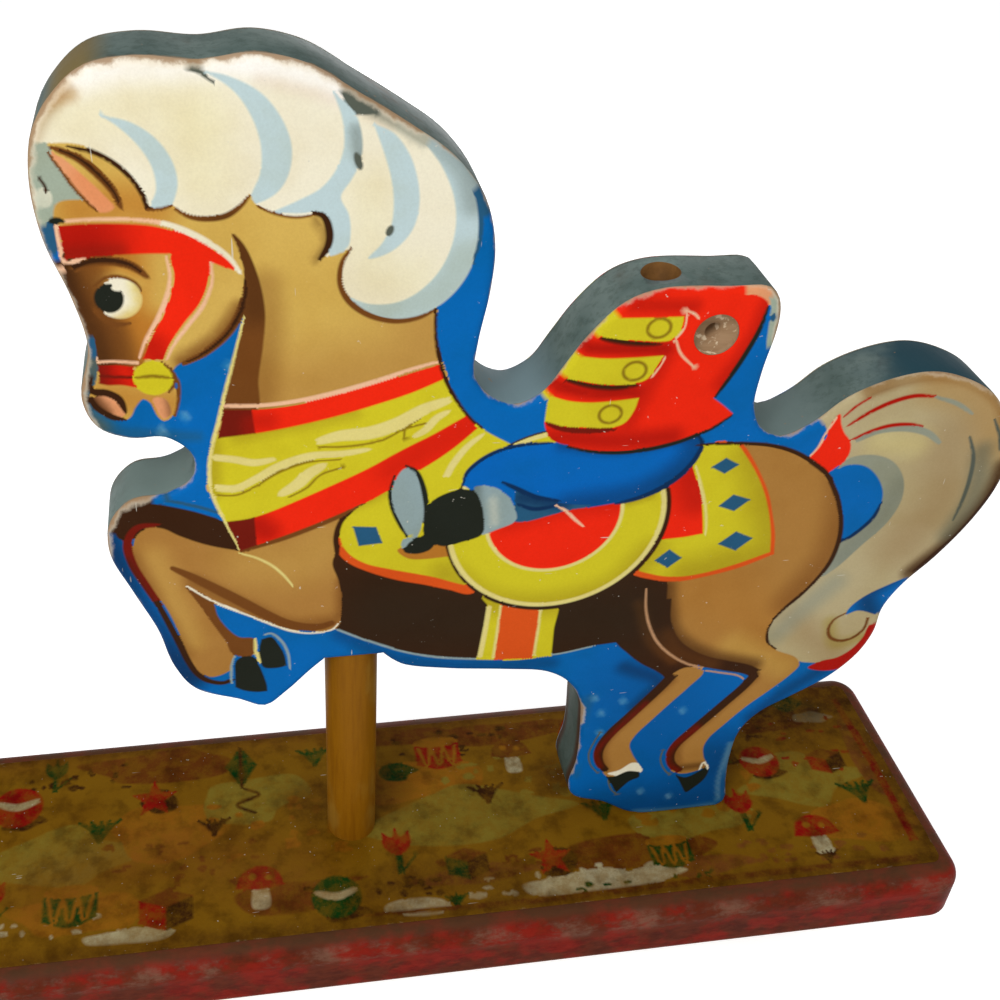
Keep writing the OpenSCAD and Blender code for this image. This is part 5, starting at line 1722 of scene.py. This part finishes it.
def photo_camera(settings):
    """The camera that took the photograph, set from its fitted angles"""
    turn, tilt = settings.azimuth, settings.elevation
    look = Vector((math.sin(turn) * math.cos(tilt), math.cos(turn) * math.cos(tilt), -math.sin(tilt)))
    level = Vector((math.cos(turn), -math.sin(turn), 0))
    upward = level.cross(look)
    right = math.cos(settings.roll) * level + math.sin(settings.roll) * upward
    up = -math.sin(settings.roll) * level + math.cos(settings.roll) * upward
    data = bpy.data.cameras.new("camera")
    data.lens = settings.focal
    data.sensor_fit = "HORIZONTAL"
    data.sensor_width = SENSOR
    data.shift_x, data.shift_y = settings.shift
    camera = new_object("camera", data)
    place = Matrix((right, up, -look)).transposed().to_4x4()
    foot = Vector((POST_X * MM, 0, PAPER_TOP * MM))
    place.translation = foot + Vector(settings.camera_from_post)
    camera.matrix_world = place
    bpy.context.scene.camera = camera


class HORSE_TOY_OT_stage(Operator):
    """Adds the floor, the lamps, the even sky and the photograph's camera"""

    bl_idname = "horse_toy.stage"
    bl_label = "Stage"

    def execute(self, context):
        settings = context.scene.horse_toy_stage
        context.scene.view_settings.view_transform = "Standard"
        photo_camera(settings)
        plain_floor(settings)
        even_sky(settings)
        soft_lamp("key_lamp", settings.key, 0.5, (-0.42, -0.62, 0.78))
        soft_lamp("fill_lamp", settings.fill, 0.9, (0.8, -0.6, 0.7))
        soft_lamp("back_lamp", settings.back, 0.36, (0.2, 0.9, 0.2))
        return {"FINISHED"}


class HORSE_TOY_OT_horse_board(Operator):
    """Paints the sawn edge of the horse and its bores"""

    bl_idname = "horse_toy.horse_board"
    bl_label = "Horse board"

    def execute(self, context):
        made = bmesh.new()
        made.from_mesh(frame["nodes"]["horse_board"].data)
        bmesh.ops.remove_doubles(made, verts=made.verts, dist=WELD)
        mesh = bpy.data.meshes.new("painted_horse_board")
        made.to_mesh(mesh)
        made.free()
        mesh.polygons.foreach_set("use_smooth", [True] * len(mesh.polygons))
        mesh.set_sharp_from_angle(angle=SMOOTH_ANGLE)
        places = np.array([(vertex.co.x, vertex.co.z) for vertex in mesh.vertices]) / MM
        store_numbers(mesh, "chafe", chafing(places))
        mesh.materials.append(edge_paint("edge_paint"))
        piece = new_object("painted_horse_board", mesh)
        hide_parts("horse_board")
        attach(piece, BODY)
        return {"FINISHED"}


class HORSE_TOY_OT_horse_papers(Operator):
    """Prints the papers on both faces of the horse"""

    bl_idname = "horse_toy.horse_papers"
    bl_label = "Horse papers"

    def execute(self, context):
        paper = printed_paper("horse_paper", grimy=0.30, rubbed=0.55, edge=paint().edge, shine=0.05)
        printed = flat_print(
            "horse_print_left", ACROSS, True, "sky", HORSE_PICTURE, HORSE_SHADOWS,
            HORSE_ORIGIN, PICTURE_SCALE, soft=0.32, grain=1.4,
        )
        for side in ("left", "right"):
            node = f"horse_print_{side}"
            name = f"horse_paper_{side}"
            piece = paper_sheet(name, node, ACROSS, side == "left", printed, arris_rings())
            piece.data.materials.append(paper)
            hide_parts(node)
            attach(piece, BODY)
        return {"FINISHED"}


class HORSE_TOY_OT_base_paper(Operator):
    """Prints the paper on top of the base board"""

    bl_idname = "horse_toy.base_paper"
    bl_label = "Base paper"

    def execute(self, context):
        paper = printed_paper(
            "base_paper", grimy=0.55, rubbed=0.35, edge=paint().grime, shine=0.02, faded=0.5
        )
        printed = flat_print(
            "base_print", UP, False, "ground", base_picture(), BASE_SHADOWS,
            BASE_ORIGIN, 1.0, soft=0.5, grain=1.8,
        )
        piece = paper_sheet("base_paper", "base_print", UP, False, printed, FLAT_RINGS)
        piece.data.materials.append(paper)
        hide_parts("base_print")
        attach(piece, BODY)
        return {"FINISHED"}


class HORSE_TOY_OT_base_board(Operator):
    """Paints the base board red and lets it wear"""

    bl_idname = "horse_toy.base_board"
    bl_label = "Base board"

    def execute(self, context):
        wear_on(["base_board"], base_paint("base_paint"))
        return {"FINISHED"}


class HORSE_TOY_OT_post(Operator):
    """Varnishes the dowel post"""

    bl_idname = "horse_toy.post"
    bl_label = "Post"

    def execute(self, context):
        wear_on(["post"], varnished_dowel("post_varnish"))
        return {"FINISHED"}


class HORSE_TOY_OT_wheels(Operator):
    """Paints the four wheels"""

    bl_idname = "horse_toy.wheels"
    bl_label = "Wheels"

    def execute(self, context):
        for name in WHEELS:
            wear_on([name], wheel_paint(f"{name}_paint", name))
        return {"FINISHED"}


class HORSE_TOY_OT_running_gear(Operator):
    """Finishes axle blocks, axles, washers, caps and screws"""

    bl_idname = "horse_toy.running_gear"
    bl_label = "Running gear"

    def execute(self, context):
        blocks = ["front_axle_block", "rear_axle_block"]
        wear_on(blocks, bare_wood("block_wood", paint().bare_wood))
        fittings = ["front_axle", "rear_axle"]
        for name in WHEELS:
            corner = name.replace("_wheel", "")
            fittings += [f"{corner}_washer", f"{corner}_cap"]
        wear_on(fittings, old_steel("axle_steel", paint().steel, 0.55))
        screws = ["foot_screws", "front_block_screws", "rear_block_screws"]
        wear_on(screws, old_steel("screw_steel", paint().screws, 0.75))
        return {"FINISHED"}


class HORSE_TOY_PT_panel(Panel):
    """Sidebar panel that lists the toy's pieces"""

    bl_idname = "HORSE_TOY_PT_panel"
    bl_label = "Horse Toy"
    bl_space_type = "VIEW_3D"
    bl_region_type = "UI"
    bl_category = "Horse Toy"

    def draw(self, context):
        for operator in OPERATORS:
            self.layout.operator(operator.bl_idname)


OPERATORS = (
    HORSE_TOY_OT_stage,
    HORSE_TOY_OT_horse_board,
    HORSE_TOY_OT_horse_papers,
    HORSE_TOY_OT_base_paper,
    HORSE_TOY_OT_base_board,
    HORSE_TOY_OT_post,
    HORSE_TOY_OT_wheels,
    HORSE_TOY_OT_running_gear,
)


def register():
    for group in GROUPS.values():
        bpy.utils.register_class(group)
    for name, group in GROUPS.items():
        setattr(bpy.types.Scene, name, PointerProperty(type=group))
    for operator in OPERATORS:
        bpy.utils.register_class(operator)
    bpy.utils.register_class(HORSE_TOY_PT_panel)


def unregister():
    bpy.utils.unregister_class(HORSE_TOY_PT_panel)
    for operator in reversed(OPERATORS):
        bpy.utils.unregister_class(operator)
    for name in GROUPS:
        delattr(bpy.types.Scene, name)
    for group in GROUPS.values():
        bpy.utils.unregister_class(group)


def main():
    register()
    bpy.ops.horse_toy.stage()
    bpy.ops.horse_toy.horse_board()
    bpy.ops.horse_toy.horse_papers()
    bpy.ops.horse_toy.base_paper()
    bpy.ops.horse_toy.base_board()
    bpy.ops.horse_toy.post()
    bpy.ops.horse_toy.wheels()
    bpy.ops.horse_toy.running_gear()


if __name__ == "__main__":
    main()
